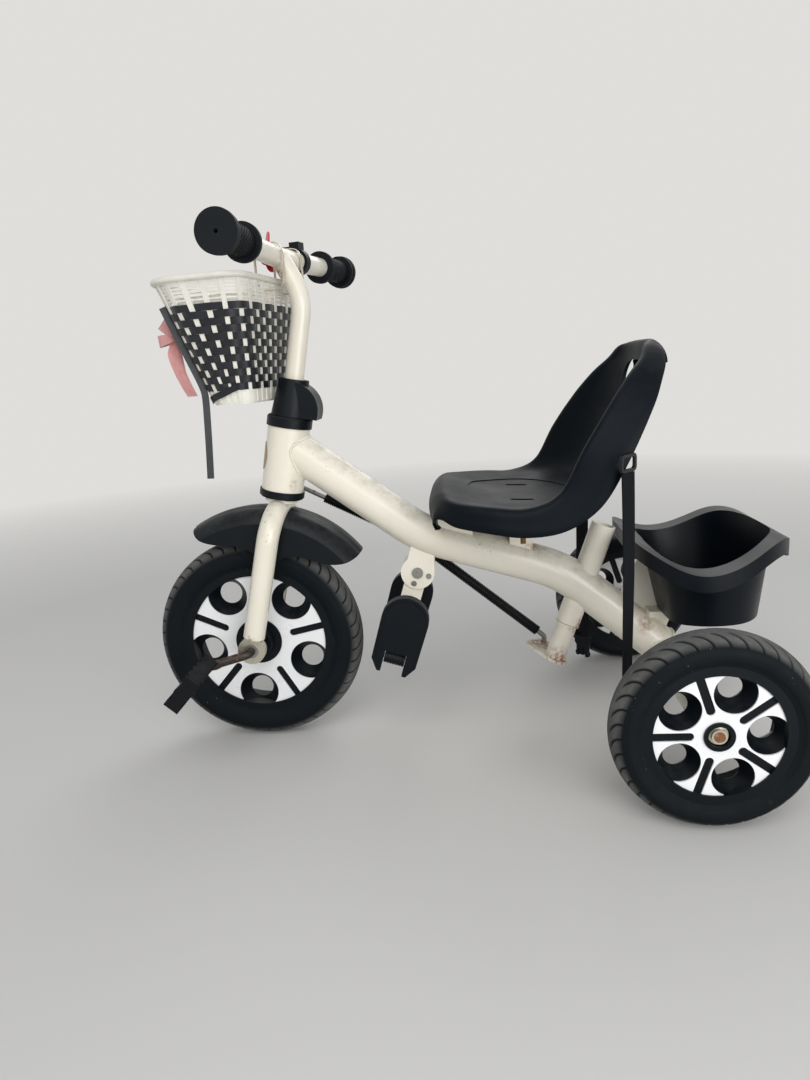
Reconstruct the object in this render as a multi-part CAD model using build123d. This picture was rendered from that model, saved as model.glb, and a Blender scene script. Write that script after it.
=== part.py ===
"""A child's pedal tricycle with a push-bar socket, as separate pieces, in millimetres.

It is drawn with X running from the front axle to the rear, Y to the rider's right and Z up from the
floor, and every piece is moved at the end so that the origin is under the middle of the whole object.
"""

import math
import os

from build123d import *

os.makedirs("parts", exist_ok=True)

# Wheels.
FRONT_R = 125.0
REAR_R = 96.0
REAR_X = 476.0
TRACK_HALF = 207.5
TYRE_HALF = 23.0
FRONT_RIM_R = 90.0
REAR_RIM_R = 68.0
RIM_HALF = 18.5
FACE_HALF = 15.0
STAR_THICK = 1.6
FRONT_STAR_R = 81.5
REAR_STAR_R = 59.0
FRONT_STAR_TURN = 12.0
REAR_STAR_TURN = 36.0
FRONT_WINDOW_AT = 66.0
FRONT_WINDOW_R = 24.0
REAR_WINDOW_AT = 43.0
REAR_WINDOW_R = 19.4
WINDOW_NECK = 0.56
FRONT_DISC_R = 28.0
REAR_DISC_R = 14.0
FRONT_BOSS_R = 14.0
REAR_BOSS_R = 13.0
FRONT_SLOT = (39.5, 8.5)
REAR_SLOT = (22.0, 8.2)
AXLE_R = 5.0
HUB_STEP = 32.0
HUB_STEP_R = 19.0
RUN_GAP = 0.06
SIDE_PLAY = 0.6

# Steering axis, head tube and fork.
STEER_TILT = 11.7
STEER_X0 = -20.0
HEAD_Z = 306.0
HEAD_LEN = 74.0
HEAD_R = 24.25
HEAD_BORE_R = 21.0
CUP_R = 26.0
CUP_LEN = 12.0
LOW_CUP_LEN = 9.0
STEERER_R = 14.0
STEM_R = 11.0
TURN_GAP = 0.6
FORK_HALF = 47.0
FORK_TUBE_R = 12.5
FORK_WALL = 2.0
FORK_BEND = 34.0
ARCH_Z = 284.0
FORK_END_R = 16.0
FORK_END_HALF = 5.0
FORK_END_TOP = 16.0
BUSH_R = 8.5
COWL_TOP = 128.0

# Fender.
FENDER_X = 12.0
FENDER_Z = 140.0
FENDER_R = 149.0
FENDER_HALF = 34.0
FENDER_WALL = 2.5

# Handlebar and what it carries.
BAR_TURN = -8.8
BAR_X = 62.0
BAR_Z = 563.0
BAR_R = 11.0
BAR_HALF = 177.0
BAR_SWEEP = 5.2
BAR_ROLL = 1.7
GRIP_IN = 110.0
GRIP_OUT = 181.0
GRIP_FLANGE_R = 20.0
GRIP_R = 14.0
BASKET_BOTTOM_Z = 409.0
BASKET_TOP_Z = 543.0
BASKET_WALL = 2.2
BASKET_RIM = 3.0
BASKET_RIM_Z = 6.0
BASKET_BACK = (41.0, 54.0)
BASKET_FRONT = (-13.0, -62.0)
BASKET_HALF = (60.0, 91.0)
BASKET_ROUND_BACK = (16.0, 24.0)
BASKET_ROUND_FRONT = (25.0, 47.0)
TIE_Y = (-22.0, 32.0)
TIE_W = 4.0
TIE_THICK = 1.3
TIE_GAP = 0.3
TIE_REACH = 18.0
TIE_DROP = 16.0
PINWHEEL_R = 23.0
PINWHEEL_AHEAD = 30.0
PINWHEEL_Y = 50.0
BLADE_PITCH = 38.0

# Crank and pedals.
CRANK_LEN = 52.0
CRANK_DROP = 12.0
CRANK_BEND_Y = 62.0
PEDAL_IN = 82.0
PEDAL_OUT = 146.0
PEDAL_DEPTH = 42.0
PEDAL_BAR = 8.0
PEDAL_THICK = 18.0
PEDAL_TILT = -48.0

# Frame tubes.
MAIN_R = 22.5
MAIN_WALL = 2.0
MAIN_BEND = 150.0
MAIN_PATH = ((205.0, 244.0), (365.0, 194.0))
MAIN_TOP_Z = 358.0
AXLE_TUBE_R = 14.0
AXLE_TUBE_HALF = 178.0
WASHER_R = 9.0
INNER_WASHER = 2.4
OUTER_WASHER = 1.6
HUB_RECESS = 3.0
NUT_R = 7.0
NUT_LEN = 4.0

# Push-bar socket and the link to the fork.
SOCKET_X = 371.0
SOCKET_Z = 130.0
SOCKET_TILT = 20.0
SOCKET_R = 14.0
SOCKET_LEN = 124.0
SOCKET_INNER_R = 12.0
PUSH_BORE_R = 10.1
CUP_DROP = 46.0
LINK_ARM = 40.0
LINK_FORE = -10.0
LINK_R = 3.0
LINK_BEND = 60.0
LINK_KNEE = (185.0, 234.3)
SLEEVE_R = 6.3
SLEEVE_ROOT_R = 5.3
SLEEVE_PITCH = 2.7
SLEEVE_RIBS = 106
SLEEVE_START = 58.0

# Foot rest.
REST_X = 197.0
REST_Z = 201.0
REST_DISC_R = 19.7
REST_PLATE = 3.0
REST_INNER = 10.0
REST_LEN = 92.7
REST_LEAN = 18.2
REST_ARM_W = 24.0
REST_BEAM_HALF = 48.0
PAD_HINGE_Y = 55.5
PAD_THICK = 13.0
PAD_W = 54.0
PAD_UP = 75.0
PAD_DOWN = 17.5
PAD_PIN_R = 3.0
LUG_HALF = 12.0

# Seat: each row is the middle (x, z), the half width, the side rim (x, z) and the skirt (x, z).
SEAT_WALL = 4.0
SEAT_ROWS = (
    (224, 262, 60, 227, 266, 0, -3),
    (220, 280, 72, 225, 281, 0, -8),
    (222, 295, 82, 229, 292, 0, -12),
    (232, 303, 94, 236, 297, 0, -15),
    (254, 297, 112, 250, 296, 0, -18),
    (285, 289, 128, 282, 294, 0, -20),
    (320, 286, 134, 312, 292, 0, -22),
    (360, 285, 135, 338, 298, 6, -26),
    (391, 289, 134, 353, 309, 16, -27),
    (410, 302, 133, 362, 324, 28, -24),
    (424, 324, 132, 373, 346, 34, -18),
    (438, 364, 126, 391, 374, 34, -12),
    (448, 404, 112, 413, 404, 29, -9),
    (453, 432, 88, 436, 429, 18, -8),
    (455, 443, 66, 446, 440, 13, -8),
    (458, 447, 57, 452, 444, 8, -9),
    (462, 443, 55, 458, 440, 4, -10),
    (464, 431, 56, 460, 429, 2, -10),
)

SEAT_UNDER = 286.0
SEAT_RISERS = ((241.0, 44.0, 15.0), (318.0, 26.0, 14.0))
SLOT_Y = 50.0
SLOT_W = 9.0
SLOT_LEN = 26.0
DISH_X = 318.0
DISH_RADII = (58.0, 88.0)
DISH_DEEP = 1.0
HANDLE_AT = (445.0, 407.0)
HANDLE_SIZE = (96.0, 40.0)
HANDLE_LEAN = 75.0

# Bin behind the seat.
BIN_FLOOR_Z = 147.0
BIN_WALL = 2.5
BIN_LIP = 14.0
BIN_LIP_DROP = 17.0
BIN_RIM = (
    (446, 0), (447, 45), (457, 87), (482, 107), (512, 109), (551, 96), (579, 62), (591, 28), (594, 0),
)
BIN_FLOOR = (
    (474, 0), (474, 40), (480, 66), (500, 77), (522, 79), (548, 72), (570, 48), (578, 24), (580, 0),
)
BIN_WAVE = (
    (400, 246), (427, 243), (452, 230), (482, 217), (512, 218), (545, 232),
    (570, 242), (588, 240), (600, 231), (612, 216), (660, 150),
)
BIN_SCREW_X = 505.0
BIN_SCREW_Y = 14.0
BIN_SCREW_R = 2.5

# Belt straps and the loose basket strip.
STRAP_W = 20.0
STRAP_THICK = 1.6
RING_WIRE = 3.0
STRAP_Y = 150.0
STRAP_TOP = (410.0, 330.0)
STRAP_LEN = 275.0
STRAP_TWIST = 50.0
BUCKLE_LEN = 30.0
STRIP_W = 8.0
STRIP_THICK = 1.0
STRIP_TOP_Z = 515.0
STRIP_LOW_Z = 424.0
STRIP_TURN = 31.0
STRIP_LEN = 98.0
STRIP_HANG = (-6.6, 0.0, -96.4)
RIBBON_W = 10.0
RIBBON_THICK = 1.2
BOW_LOOP = (15.0, 8.5)
BOW_Z = 484.0
BOW_TURN = 9.0

# The origin is under the middle of the whole length, from the front tyre to the bin's rim.
ORIGIN_X = (BIN_RIM[-1][0] + BIN_LIP - FRONT_R) / 2


def steer_x(z):
    """The X of the steering axis at a height."""
    return STEER_X0 + z * math.tan(math.radians(STEER_TILT))


STEER = Pos(steer_x(HEAD_Z), 0, HEAD_Z) * Rot(0, STEER_TILT, 0)
TURN = STEER * Rot(0, 0, BAR_TURN) * STEER.inverse()
BAR = TURN * Pos(BAR_X, 0, BAR_Z) * Rot(BAR_ROLL, 0, 0) * Pos(-BAR_X, 0, -BAR_Z)
SOCKET = Pos(SOCKET_X, 0, SOCKET_Z) * Rot(0, SOCKET_TILT, 0)
REST = Pos(REST_X, 0, REST_Z) * Rot(0, REST_LEAN, 0)
STRAP = Pos(STRAP_TOP[0], -STRAP_Y, STRAP_TOP[1]) * Rot(0, 0, STRAP_TWIST)


def keep(name, *shapes):
    """Writes one node, of one solid or of several alike."""
    solids = []
    for shape in shapes:
        solids += list((Pos(-ORIGIN_X, 0, 0) * shape).solids())
    export_step(solids[0] if len(solids) == 1 else Compound(children=solids), f"parts/{name}.step")


def rod_z(r, z0, z1, r_in=0.0):
    """A rod or tube along Z."""
    body = Pos(0, 0, (z0 + z1) / 2) * Cylinder(r, z1 - z0)
    if r_in:
        body -= Pos(0, 0, (z0 + z1) / 2) * Cylinder(r_in, z1 - z0 + 2)
    return body


def rod_y(r, y0, y1, x=0.0, z=0.0, r_in=0.0):
    """A rod or tube along Y."""
    return Pos(x, 0, z) * Rot(-90, 0, 0) * rod_z(r, y0, y1, r_in)


def swept(points, r, bend, r_in=0.0):
    """A round tube along straight runs with rounded bends."""
    path = FilletPolyline(*points, radius=bend) if len(points) > 2 else Line(*points)
    body = sweep(Plane(path ^ 0) * Circle(r), path)
    if r_in:
        body -= sweep(Plane(path ^ 0) * Circle(r_in), path)
    return body


def side_prism(outline, y0, y1):
    """An outline drawn on X and Z, pulled along Y from y0 to y1."""
    return Pos(0, y1, 0) * extrude(Plane.XZ * outline, y1 - y0)


def both_sides(shape):
    """The piece on the left and its mirror image on the right."""
    return shape, mirror(shape, about=Plane.XZ)


# Wheels


def tyre(radius, seat):
    """A solid tyre about Y with round shoulders."""
    bead, shoulder = (seat + 6, TYRE_HALF - 1), (radius - 11, TYRE_HALF - 1.5)
    bead_2, shoulder_2 = (bead[0], -bead[1]), (shoulder[0], -shoulder[1])
    profile = Polyline((seat, -RIM_HALF), (seat, RIM_HALF), bead)
    crown = Spline(bead, shoulder, (radius, 0), shoulder_2, bead_2)
    close = Line(bead_2, (seat, -RIM_HALF))
    face = make_face([profile, crown, close])
    return Rot(-90, 0, 0) * revolve(Plane.XZ * face, Axis.Z)


def windows(star_r, window_at, window_r, turn):
    """The five round openings, narrowing to the middle of the wheel and cut off by the rim."""
    funnel = Pos(0, 0, FACE_HALF / 2) * Cone(WINDOW_NECK * window_r, window_r, FACE_HALF)
    funnel += rod_z(window_r, FACE_HALF, 2 * FACE_HALF)
    funnel += mirror(funnel, about=Plane.XY)
    cutters = []
    for k in range(5):
        angle = math.radians(turn + 36 + 72 * k)
        place = Pos(window_at * math.cos(angle), 0, window_at * math.sin(angle)) * Rot(90, 0, 0)
        cutters.append(place * funnel & rod_y(star_r, -3 * FACE_HALF, 3 * FACE_HALF))
    return cutters


def star(star_r, hub_r, window_at, window_r, slot, turn):
    """One bright five-armed cover, flat on the near face of its wheel, with a slot along each arm."""
    slot_from, slot_w = slot
    face = Circle(star_r) - Circle(hub_r)
    for k in range(5):
        angle = turn + 36 + 72 * k
        at = math.radians(angle)
        face -= Pos(window_at * math.cos(at), window_at * math.sin(at)) * Circle(window_r)
        groove = SlotCenterPoint((star_r, 0), (slot_from + slot_w / 2, 0), slot_w)
        face -= Rot(0, 0, turn + 72 * k) * groove
    return Pos(0, -FACE_HALF, 0) * extrude(Plane.XZ * face, STAR_THICK)


def wheel_body(rim_r, star_r, hub_r, boss_r, boss_in, boss_out, bore_r):
    """A black wheel: rim, web, hub disc and hub, about Y."""
    body = rod_y(rim_r, -RIM_HALF, RIM_HALF)
    body -= rod_y(star_r, -RIM_HALF - 1, -FACE_HALF)
    body -= rod_y(star_r, FACE_HALF, RIM_HALF + 1)
    body += rod_y(hub_r, -RIM_HALF, RIM_HALF)
    body += rod_y(boss_r, -boss_out, boss_in)
    return body - rod_y(bore_r, -boss_out - 1, boss_in + 1)


def front_wheel():
    """The pieces that turn about the front axle."""
    at = Pos(0, 0, FRONT_R)
    boss = FORK_HALF - FORK_END_HALF - SIDE_PLAY
    body = wheel_body(FRONT_RIM_R, FRONT_STAR_R, FRONT_DISC_R, FRONT_BOSS_R, boss, boss, AXLE_R)
    body += rod_y(HUB_STEP_R, -HUB_STEP, HUB_STEP, 0, 0, AXLE_R)
    for window in windows(FRONT_STAR_R, FRONT_WINDOW_AT, FRONT_WINDOW_R, FRONT_STAR_TURN):
        body -= window
    cover = star(FRONT_STAR_R, FRONT_DISC_R, FRONT_WINDOW_AT, FRONT_WINDOW_R, FRONT_SLOT, FRONT_STAR_TURN)
    keep("front_tyre", at * tyre(FRONT_R, FRONT_RIM_R))
    keep("front_wheel_body", at * body)
    keep("front_star_covers", *(at * piece for piece in both_sides(cover)))


def rear_wheels():
    """Both rear wheels with their tyres and covers."""
    reach = TRACK_HALF - AXLE_TUBE_HALF - INNER_WASHER - SIDE_PLAY
    body = wheel_body(REAR_RIM_R, REAR_STAR_R, REAR_DISC_R, REAR_BOSS_R, reach, FACE_HALF + 1, AXLE_R + RUN_GAP)
    for window in windows(REAR_STAR_R, REAR_WINDOW_AT, REAR_WINDOW_R, REAR_STAR_TURN):
        body -= window
    body -= rod_y(WASHER_R + 1.0, -2 * FACE_HALF, HUB_RECESS - FACE_HALF)
    cover = star(REAR_STAR_R, REAR_DISC_R, REAR_WINDOW_AT, REAR_WINDOW_R, REAR_SLOT, REAR_STAR_TURN)
    rubber = tyre(REAR_R, REAR_RIM_R)
    left = Pos(REAR_X, -TRACK_HALF, REAR_R)
    for name, shape in (("rear_tyre", rubber), ("rear_wheel_body", body)):
        for side, piece in zip(("left", "right"), both_sides(left * shape)):
            keep(f"{name}_{side}", piece)
    covers = [left * piece for piece in both_sides(cover)]
    keep("rear_star_covers_left", *covers)
    keep("rear_star_covers_right", *(mirror(piece, about=Plane.XZ) for piece in covers))


# Crank and pedals


def crank():
    """One bent rod through the wheel, with an arm and a pedal spindle at each end."""
    drop = math.radians(CRANK_DROP)
    arm = (-CRANK_LEN * math.cos(drop), -CRANK_LEN * math.sin(drop))
    y_arm = CRANK_BEND_Y + 10.0
    points = [
        (arm[0], -(PEDAL_OUT - 4), FRONT_R + arm[1]),
        (arm[0], -y_arm, FRONT_R + arm[1]),
        (0, -CRANK_BEND_Y, FRONT_R),
        (0, CRANK_BEND_Y, FRONT_R),
        (-arm[0], y_arm, FRONT_R - arm[1]),
        (-arm[0], PEDAL_OUT - 4, FRONT_R - arm[1]),
    ]
    keep("crank", swept(points, AXLE_R, 8.0))
    return arm


def pedal():
    """A pedal about its spindle on Y, lying flat, on the left side."""
    length = PEDAL_OUT - PEDAL_IN
    middle = -(PEDAL_IN + PEDAL_OUT) / 2
    body = rod_y(9.0, -PEDAL_OUT, -PEDAL_IN)
    for y in (-PEDAL_IN - 4, -PEDAL_OUT + 4):
        plate = Box(PEDAL_DEPTH, 8, PEDAL_THICK - 4)
        body += Pos(0, y, 0) * fillet(plate.edges().filter_by(Axis.Y), 4)
    for x in (-1, 1):
        out = x * (PEDAL_DEPTH - PEDAL_BAR) / 2
        bar = Pos(out, middle, 0) * Box(PEDAL_BAR, length, PEDAL_THICK)
        for k in range(5):
            y = middle + (k - 2) * length / 5
            for z in (-1, 1):
                bar -= Pos(out, y, z * PEDAL_THICK / 2) * Box(2 * PEDAL_BAR, 4, 3)
        body += bar
    return body - rod_y(AXLE_R + RUN_GAP, -PEDAL_OUT + 3, -PEDAL_IN + 1)


def pedals(arm):
    """A pedal on each spindle."""
    left = Pos(arm[0], 0, FRONT_R + arm[1]) * Rot(0, PEDAL_TILT, 0) * pedal()
    right = Pos(-arm[0], 0, FRONT_R - arm[1]) * Rot(0, PEDAL_TILT, 0) * mirror(pedal(), about=Plane.XZ)
    keep("pedal_left", left)
    keep("pedal_right", right)


# Fork, head and stem


def fork_arch(r):
    """The bent fork tube, from its left end over the wheel to its right end, filled."""
    lean = math.atan2(steer_x(ARCH_Z), ARCH_Z - FRONT_R)
    rise = (ARCH_Z - FRONT_R) / math.cos(lean)
    side = FORK_HALF
    points = [(0, -side, FORK_END_TOP), (0, -side, rise), (0, side, rise), (0, side, FORK_END_TOP)]
    return Pos(0, 0, FRONT_R) * Rot(0, math.degrees(lean), 0) * swept(points, r, FORK_BEND)


def fork():
    """Fork legs, steerer, plated ends and bushes."""
    arch = fork_arch(FORK_TUBE_R)
    bolt_hole = Pos(steer_x(ARCH_Z), 0, ARCH_Z) * rod_z(3.0, -30, 0)
    legs = arch - fork_arch(FORK_TUBE_R - FORK_WALL) - bolt_hole
    keep("fork_leg_left", legs & Pos(0, -100, 200) * Box(400, 200, 400))
    keep("fork_leg_right", legs & Pos(0, 100, 200) * Box(400, 200, 400))
    foot = (ARCH_Z - HEAD_Z) / math.cos(math.radians(STEER_TILT)) + 5.0
    steerer = STEER * rod_z(STEERER_R, foot, COWL_TOP - 2.2, STEM_R + RUN_GAP)
    keep("steerer_tube", steerer - arch)
    end = rod_y(FORK_END_R, -FORK_HALF - FORK_END_HALF, FORK_END_HALF - FORK_HALF, 0, FRONT_R)
    lean = math.degrees(math.atan2(steer_x(ARCH_Z), ARCH_Z - FRONT_R))
    neck_r = FORK_TUBE_R - FORK_WALL
    neck = rod_z(neck_r, FORK_END_TOP - 12, FORK_END_TOP + 14)
    neck &= Pos(0, 0, FORK_END_TOP) * Box(60, 2 * FORK_END_HALF, 80)
    neck += rod_z(neck_r, FORK_END_TOP, FORK_END_TOP + 14)
    end += Pos(0, -FORK_HALF, FRONT_R) * Rot(0, lean, 0) * neck
    end -= rod_y(BUSH_R, -FORK_HALF - 8, 8 - FORK_HALF, 0, FRONT_R)
    keep("fork_ends", *both_sides(end))
    bush = rod_y(BUSH_R, -FORK_HALF - 6, FORK_END_HALF - FORK_HALF, 0, FRONT_R, AXLE_R + RUN_GAP)
    keep("fork_bushes", *both_sides(bush))
    bolt = rod_z(6.0, -16.6 - 4.5, -16.6) + rod_z(3.0, -16.6, -6)
    keep("fender_bolt", Pos(steer_x(ARCH_Z), 0, ARCH_Z) * bolt - fork_arch(FORK_TUBE_R - FORK_WALL))


def fender():
    """A deep fender under the fork's arch, with a saddle where the arch sits on it."""
    def hoop(grow):
        half = FENDER_HALF - grow
        top = FENDER_R - grow
        corner = 17.0 - grow
        outline = [(70, -half), (70, half), (top - corner, half)]
        arc = RadiusArc((top - corner, half), (top - 1.5, half - corner - 6), corner + 6)
        crown = ThreePointArc((top - 1.5, half - corner - 6), (top, 0), (top - 1.5, corner + 6 - half))
        arc_2 = RadiusArc((top - 1.5, corner + 6 - half), (top - corner, -half), corner + 6)
        sides = Polyline(*outline)
        close = Line((top - corner, -half), (70, -half))
        ring = revolve(Plane.XZ * make_face([sides, arc, crown, arc_2, close]), Axis.Z)
        return Pos(FENDER_X, 0, FENDER_Z) * Rot(-90, 0, 0) * ring

    lower = Spline((-64, 268), (-50, 254), (-30, 249), (2, 243), (20, 228), (32, 221))
    lower_2 = Spline((32, 221), (50, 232), (72, 229), (95, 221), (114, 221), (136, 232))
    around = Polyline((136, 232), (160, 320), (-90, 320), (-64, 268))
    keep_side = side_prism(make_face([lower, lower_2, around]), -60, 60)
    body = (hoop(0) & keep_side) - fork_arch(FORK_TUBE_R + 0.3)
    hollow = hoop(FENDER_WALL) - fork_arch(FORK_TUBE_R + 0.3 + FENDER_WALL)
    body -= hollow
    body -= Pos(steer_x(ARCH_Z), 0, ARCH_Z) * rod_z(3.0, -40, 0)
    keep("fender", max(body.solids(), key=lambda s: s.volume))


def head():
    """Head tube and the two black bearing cups."""
    keep("head_tube", STEER * rod_z(HEAD_R, 0, HEAD_LEN, HEAD_BORE_R))
    keep("head_cups", STEER * cup(LOW_CUP_LEN), STEER * Pos(0, 0, HEAD_LEN) * Rot(180, 0, 0) * cup(CUP_LEN))


def cup(length):
    """A bearing cup, with its wide end below and its spigot up in the head tube."""
    body = rod_z(CUP_R, -length, 0) + rod_z(HEAD_BORE_R, 0, CUP_LEN)
    body = chamfer(body.edges().filter_by(GeomType.CIRCLE).group_by(Axis.Z)[0], 2)
    return body - rod_z(STEERER_R + RUN_GAP, -length - 1, CUP_LEN + 1)


def stem_clamp():
    """The split collar with its bolt, round the steerer, and the black cowl over it."""
    low = HEAD_LEN + CUP_LEN + TURN_GAP
    middle = low + 9
    x_bolt = 20.5
    collar = rod_z(16.2, low + 1, low + 17)
    collar += Pos(18.5, 0, middle) * Box(15, 14, 14)
    collar -= rod_z(STEERER_R, low, low + 40)
    collar -= Pos(23, 0, middle) * Box(24, 2, 40)
    for y0, y1, r in ((-11, -7, 4.5), (-7, 7, 2.5), (7, 11, 4.5)):
        collar += rod_y(r, y0, y1, x_bolt, middle)
    keep("stem_collar", STEER * collar)

    def cover(grow):
        post = Pos(0, 0, (low + COWL_TOP - grow) / 2) * Cone(22 - grow, 17 - grow, COWL_TOP - grow - low)
        arc = ThreePointArc((0, COWL_TOP - 3 - grow), (25 - grow, COWL_TOP - 12 - grow), (34 - grow, low + 4))
        line = Polyline((34 - grow, low + 4), (33.5 - grow, low), (0, low), (0, COWL_TOP - 3 - grow))
        hood = side_prism(make_face([arc, line]), grow - 17, 17 - grow)
        return post + hood

    cowl = cover(0) - cover(2.2) - rod_z(STEM_R + 0.4, low, COWL_TOP + 5)
    keep("stem_cowl", STEER * max(cowl.solids(), key=lambda s: s.volume))


# Handlebar group, drawn straight and then turned in its clamp


def bar_points():
    """The handlebar's centreline: two halves swept a little to the rear."""
    back = BAR_X + BAR_HALF * math.tan(math.radians(BAR_SWEEP))
    return [(back, -BAR_HALF, BAR_Z), (BAR_X, 0, BAR_Z), (back, BAR_HALF, BAR_Z)]


def handlebar():
    """Stem and bar."""
    bar = swept(bar_points(), BAR_R, 120.0)
    hollow = swept(bar_points(), BAR_R - 2, 120.0)
    up = STEER * Pos(0, 0, 62)
    foot = up.position
    knee_z = 520.0
    points = [(foot.X, 0, foot.Z), (steer_x(knee_z), 0, knee_z), (BAR_X + 2, 0, BAR_Z)]
    stem = swept(points, STEM_R, 62.0, STEM_R - 2)
    keep("stem", max((TURN * stem - BAR * bar).solids(), key=lambda s: s.volume))
    keep("handlebar", BAR * (bar - hollow))


def grips():
    """Two soft grips with a flange at each end, closed at the outer end but for a small hole."""
    grip = rod_z(GRIP_R, GRIP_IN, GRIP_OUT)
    grip += rod_z(GRIP_FLANGE_R - 1, GRIP_IN, GRIP_IN + 5)
    grip += rod_z(GRIP_FLANGE_R - 0.7, GRIP_OUT - 11, GRIP_OUT - 6)
    grip += rod_z(GRIP_FLANGE_R, GRIP_OUT - 5, GRIP_OUT)
    grip += rod_z(GRIP_FLANGE_R - 2.2, GRIP_OUT - 8, GRIP_OUT - 4)
    end = BAR_HALF / math.cos(math.radians(BAR_SWEEP))
    grip -= rod_z(BAR_R, GRIP_IN - 1, end)
    grip -= rod_z(2.0, GRIP_IN, GRIP_OUT + 1)
    for name, side in (("grip_left", 1), ("grip_right", -1)):
        keep(name, BAR * Pos(BAR_X, 0, BAR_Z) * Rot(0, 0, side * BAR_SWEEP) * Rot(side * 90, 0, 0) * grip)


def widened(pair, z):
    """A basket size at a height, between its values at the floor and at the rim."""
    t = (z - BASKET_BOTTOM_Z) / (BASKET_TOP_Z - BASKET_BOTTOM_Z)
    return pair[0] + (pair[1] - pair[0]) * t


def basket_outline(z, grow=0.0):
    """The basket's rounded outline at a height, seen from above."""
    back = widened(BASKET_BACK, z) + grow
    front = widened(BASKET_FRONT, z) - grow
    half = widened(BASKET_HALF, z) + grow
    body = Pos((back + front) / 2, 0) * Rectangle(back - front, 2 * half)
    body = fillet(body.vertices().group_by(Axis.X)[-1], widened(BASKET_ROUND_BACK, z) + grow)
    body = fillet(body.vertices().group_by(Axis.X)[0], widened(BASKET_ROUND_FRONT, z) + grow)
    return Plane.XY.offset(z) * body


def basket():
    """The basket as a thin tapering tub with a rolled rim, slotted for its two ties."""
    top, low = BASKET_TOP_Z, BASKET_BOTTOM_Z
    tub = loft([basket_outline(low), basket_outline(top)])
    inside = loft([basket_outline(low, -BASKET_WALL), basket_outline(top + 0.01, -BASKET_WALL)])
    tub -= Pos(0, 0, BASKET_WALL) * inside
    tub += extrude(basket_outline(top, BASKET_RIM) - basket_outline(top, -BASKET_WALL), -BASKET_RIM_Z)
    for y in TIE_Y:
        tub -= Pos(BASKET_BACK[1], y, top - TIE_DROP) * Box(30, TIE_W + 2, 7)
    keep("basket", BAR * max(tub.solids(), key=lambda s: s.volume))


def basket_ties():
    """Two closed ties, each round the bar and through the basket's back."""
    ties = []
    for y in TIE_Y:
        x = BAR_X + abs(y) * math.tan(math.radians(BAR_SWEEP))
        low = BASKET_TOP_Z - TIE_DROP
        high = BAR_Z + BAR_R + TIE_GAP + TIE_THICK
        back = x + BAR_R + TIE_GAP + TIE_THICK
        front = BAR_X - TIE_REACH
        outer = Pos((front + back) / 2, (low + high) / 2) * RectangleRounded(back - front, high - low, BAR_R)
        face = outer - offset(outer, -TIE_THICK)
        knot = Pos(back + 1.0, BAR_Z) * RectangleRounded(4, 6, 1)
        ties.append(BAR * side_prism(face + knot, y - TIE_W / 2, y + TIE_W / 2))
    keep("basket_ties", *ties)


def ornament():
    """A small pinwheel in front of the bar, on a black strap clamp."""
    x_bar = BAR_X + PINWHEEL_Y * math.tan(math.radians(BAR_SWEEP))
    ring = rod_y(BAR_R + 3.5, -5, 5, 0, 0, BAR_R)
    ring += Pos(0, 0, BAR_R + 6) * Box(12, 14, 9) - rod_y(BAR_R, -9, 9)
    clamp = Pos(x_bar, PINWHEEL_Y, BAR_Z) * Rot(0, 0, -BAR_SWEEP) * ring
    hub_at = (BAR_X - PINWHEEL_AHEAD, PINWHEEL_Y, BAR_Z + 15.0)
    arm = swept([(x_bar, PINWHEEL_Y, hub_at[2]), (hub_at[0] + 10, PINWHEEL_Y, hub_at[2])], 3.0, 0)
    spin = Pos(*hub_at) * Rot(0, 90, 0)
    shaft = spin * rod_z(1.5, -3, 12)
    clamp = clamp + arm + shaft
    keep("ornament_clamp", BAR * clamp)
    wheel = rod_z(5.0, -5.5, 1.5)
    for k in range(5):
        petal = extrude(Pos(PINWHEEL_R / 2 + 0.5, 2, 0) * Ellipse(PINWHEEL_R / 2, 7.0), 0.8, both=True)
        wheel += Rot(0, 0, 18 + 72 * k) * Pos(0, 0, -2.5) * Rot(BLADE_PITCH, 0, 0) * petal
    wheel -= rod_z(1.5 + RUN_GAP, -3.5, 3)
    keep("pinwheel", BAR * spin * max(wheel.solids(), key=lambda s: s.volume))


def basket_front(z, sideways):
    """A point on the front wall at a height, and the way out of it, round the left corner by an angle."""
    r = widened(BASKET_ROUND_FRONT, z)
    out = Vector(-math.cos(math.radians(sideways)), -math.sin(math.radians(sideways)), 0)
    return Vector(widened(BASKET_FRONT, z) + r, r - widened(BASKET_HALF, z), z) + out * r, out


def basket_block():
    """The whole space the basket takes up, to trim what lies against it."""
    return loft([basket_outline(BASKET_BOTTOM_Z), basket_outline(BASKET_TOP_Z)])


def ribbon_bow():
    """A ribbon tied in a bow on the basket's front: a knot, two loops and two tails."""
    at, out = basket_front(BOW_Z, BOW_TURN)
    knot = at + out * 4.0
    long, short = BOW_LOOP
    band = Ellipse(long, short) - Ellipse(long - RIBBON_THICK, short - RIBBON_THICK)
    loop = Pos(long, 0, 0) * extrude(band, RIBBON_W / 2, both=True)
    bow = Pos(*knot) * Sphere(6.0)
    for turn, rise, roll in ((158, 30, 70), (226, 18, 110)):
        bow += Pos(*knot) * Rot(0, 0, turn) * Rot(0, -rise, 0) * Rot(roll, 0, 0) * loop
    for y, length, lean in ((-3, 66, 4), (5, 48, -5)):
        tail = Pos(0, 0, -length / 2) * Box(RIBBON_THICK, RIBBON_W, length)
        bow += Pos(knot.X - 2, knot.Y + y, knot.Z) * Rot(lean, 0, 0) * tail
    bow -= basket_block()
    keep("ribbon_bow", BAR * max(bow.solids(), key=lambda s: s.volume))


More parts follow.
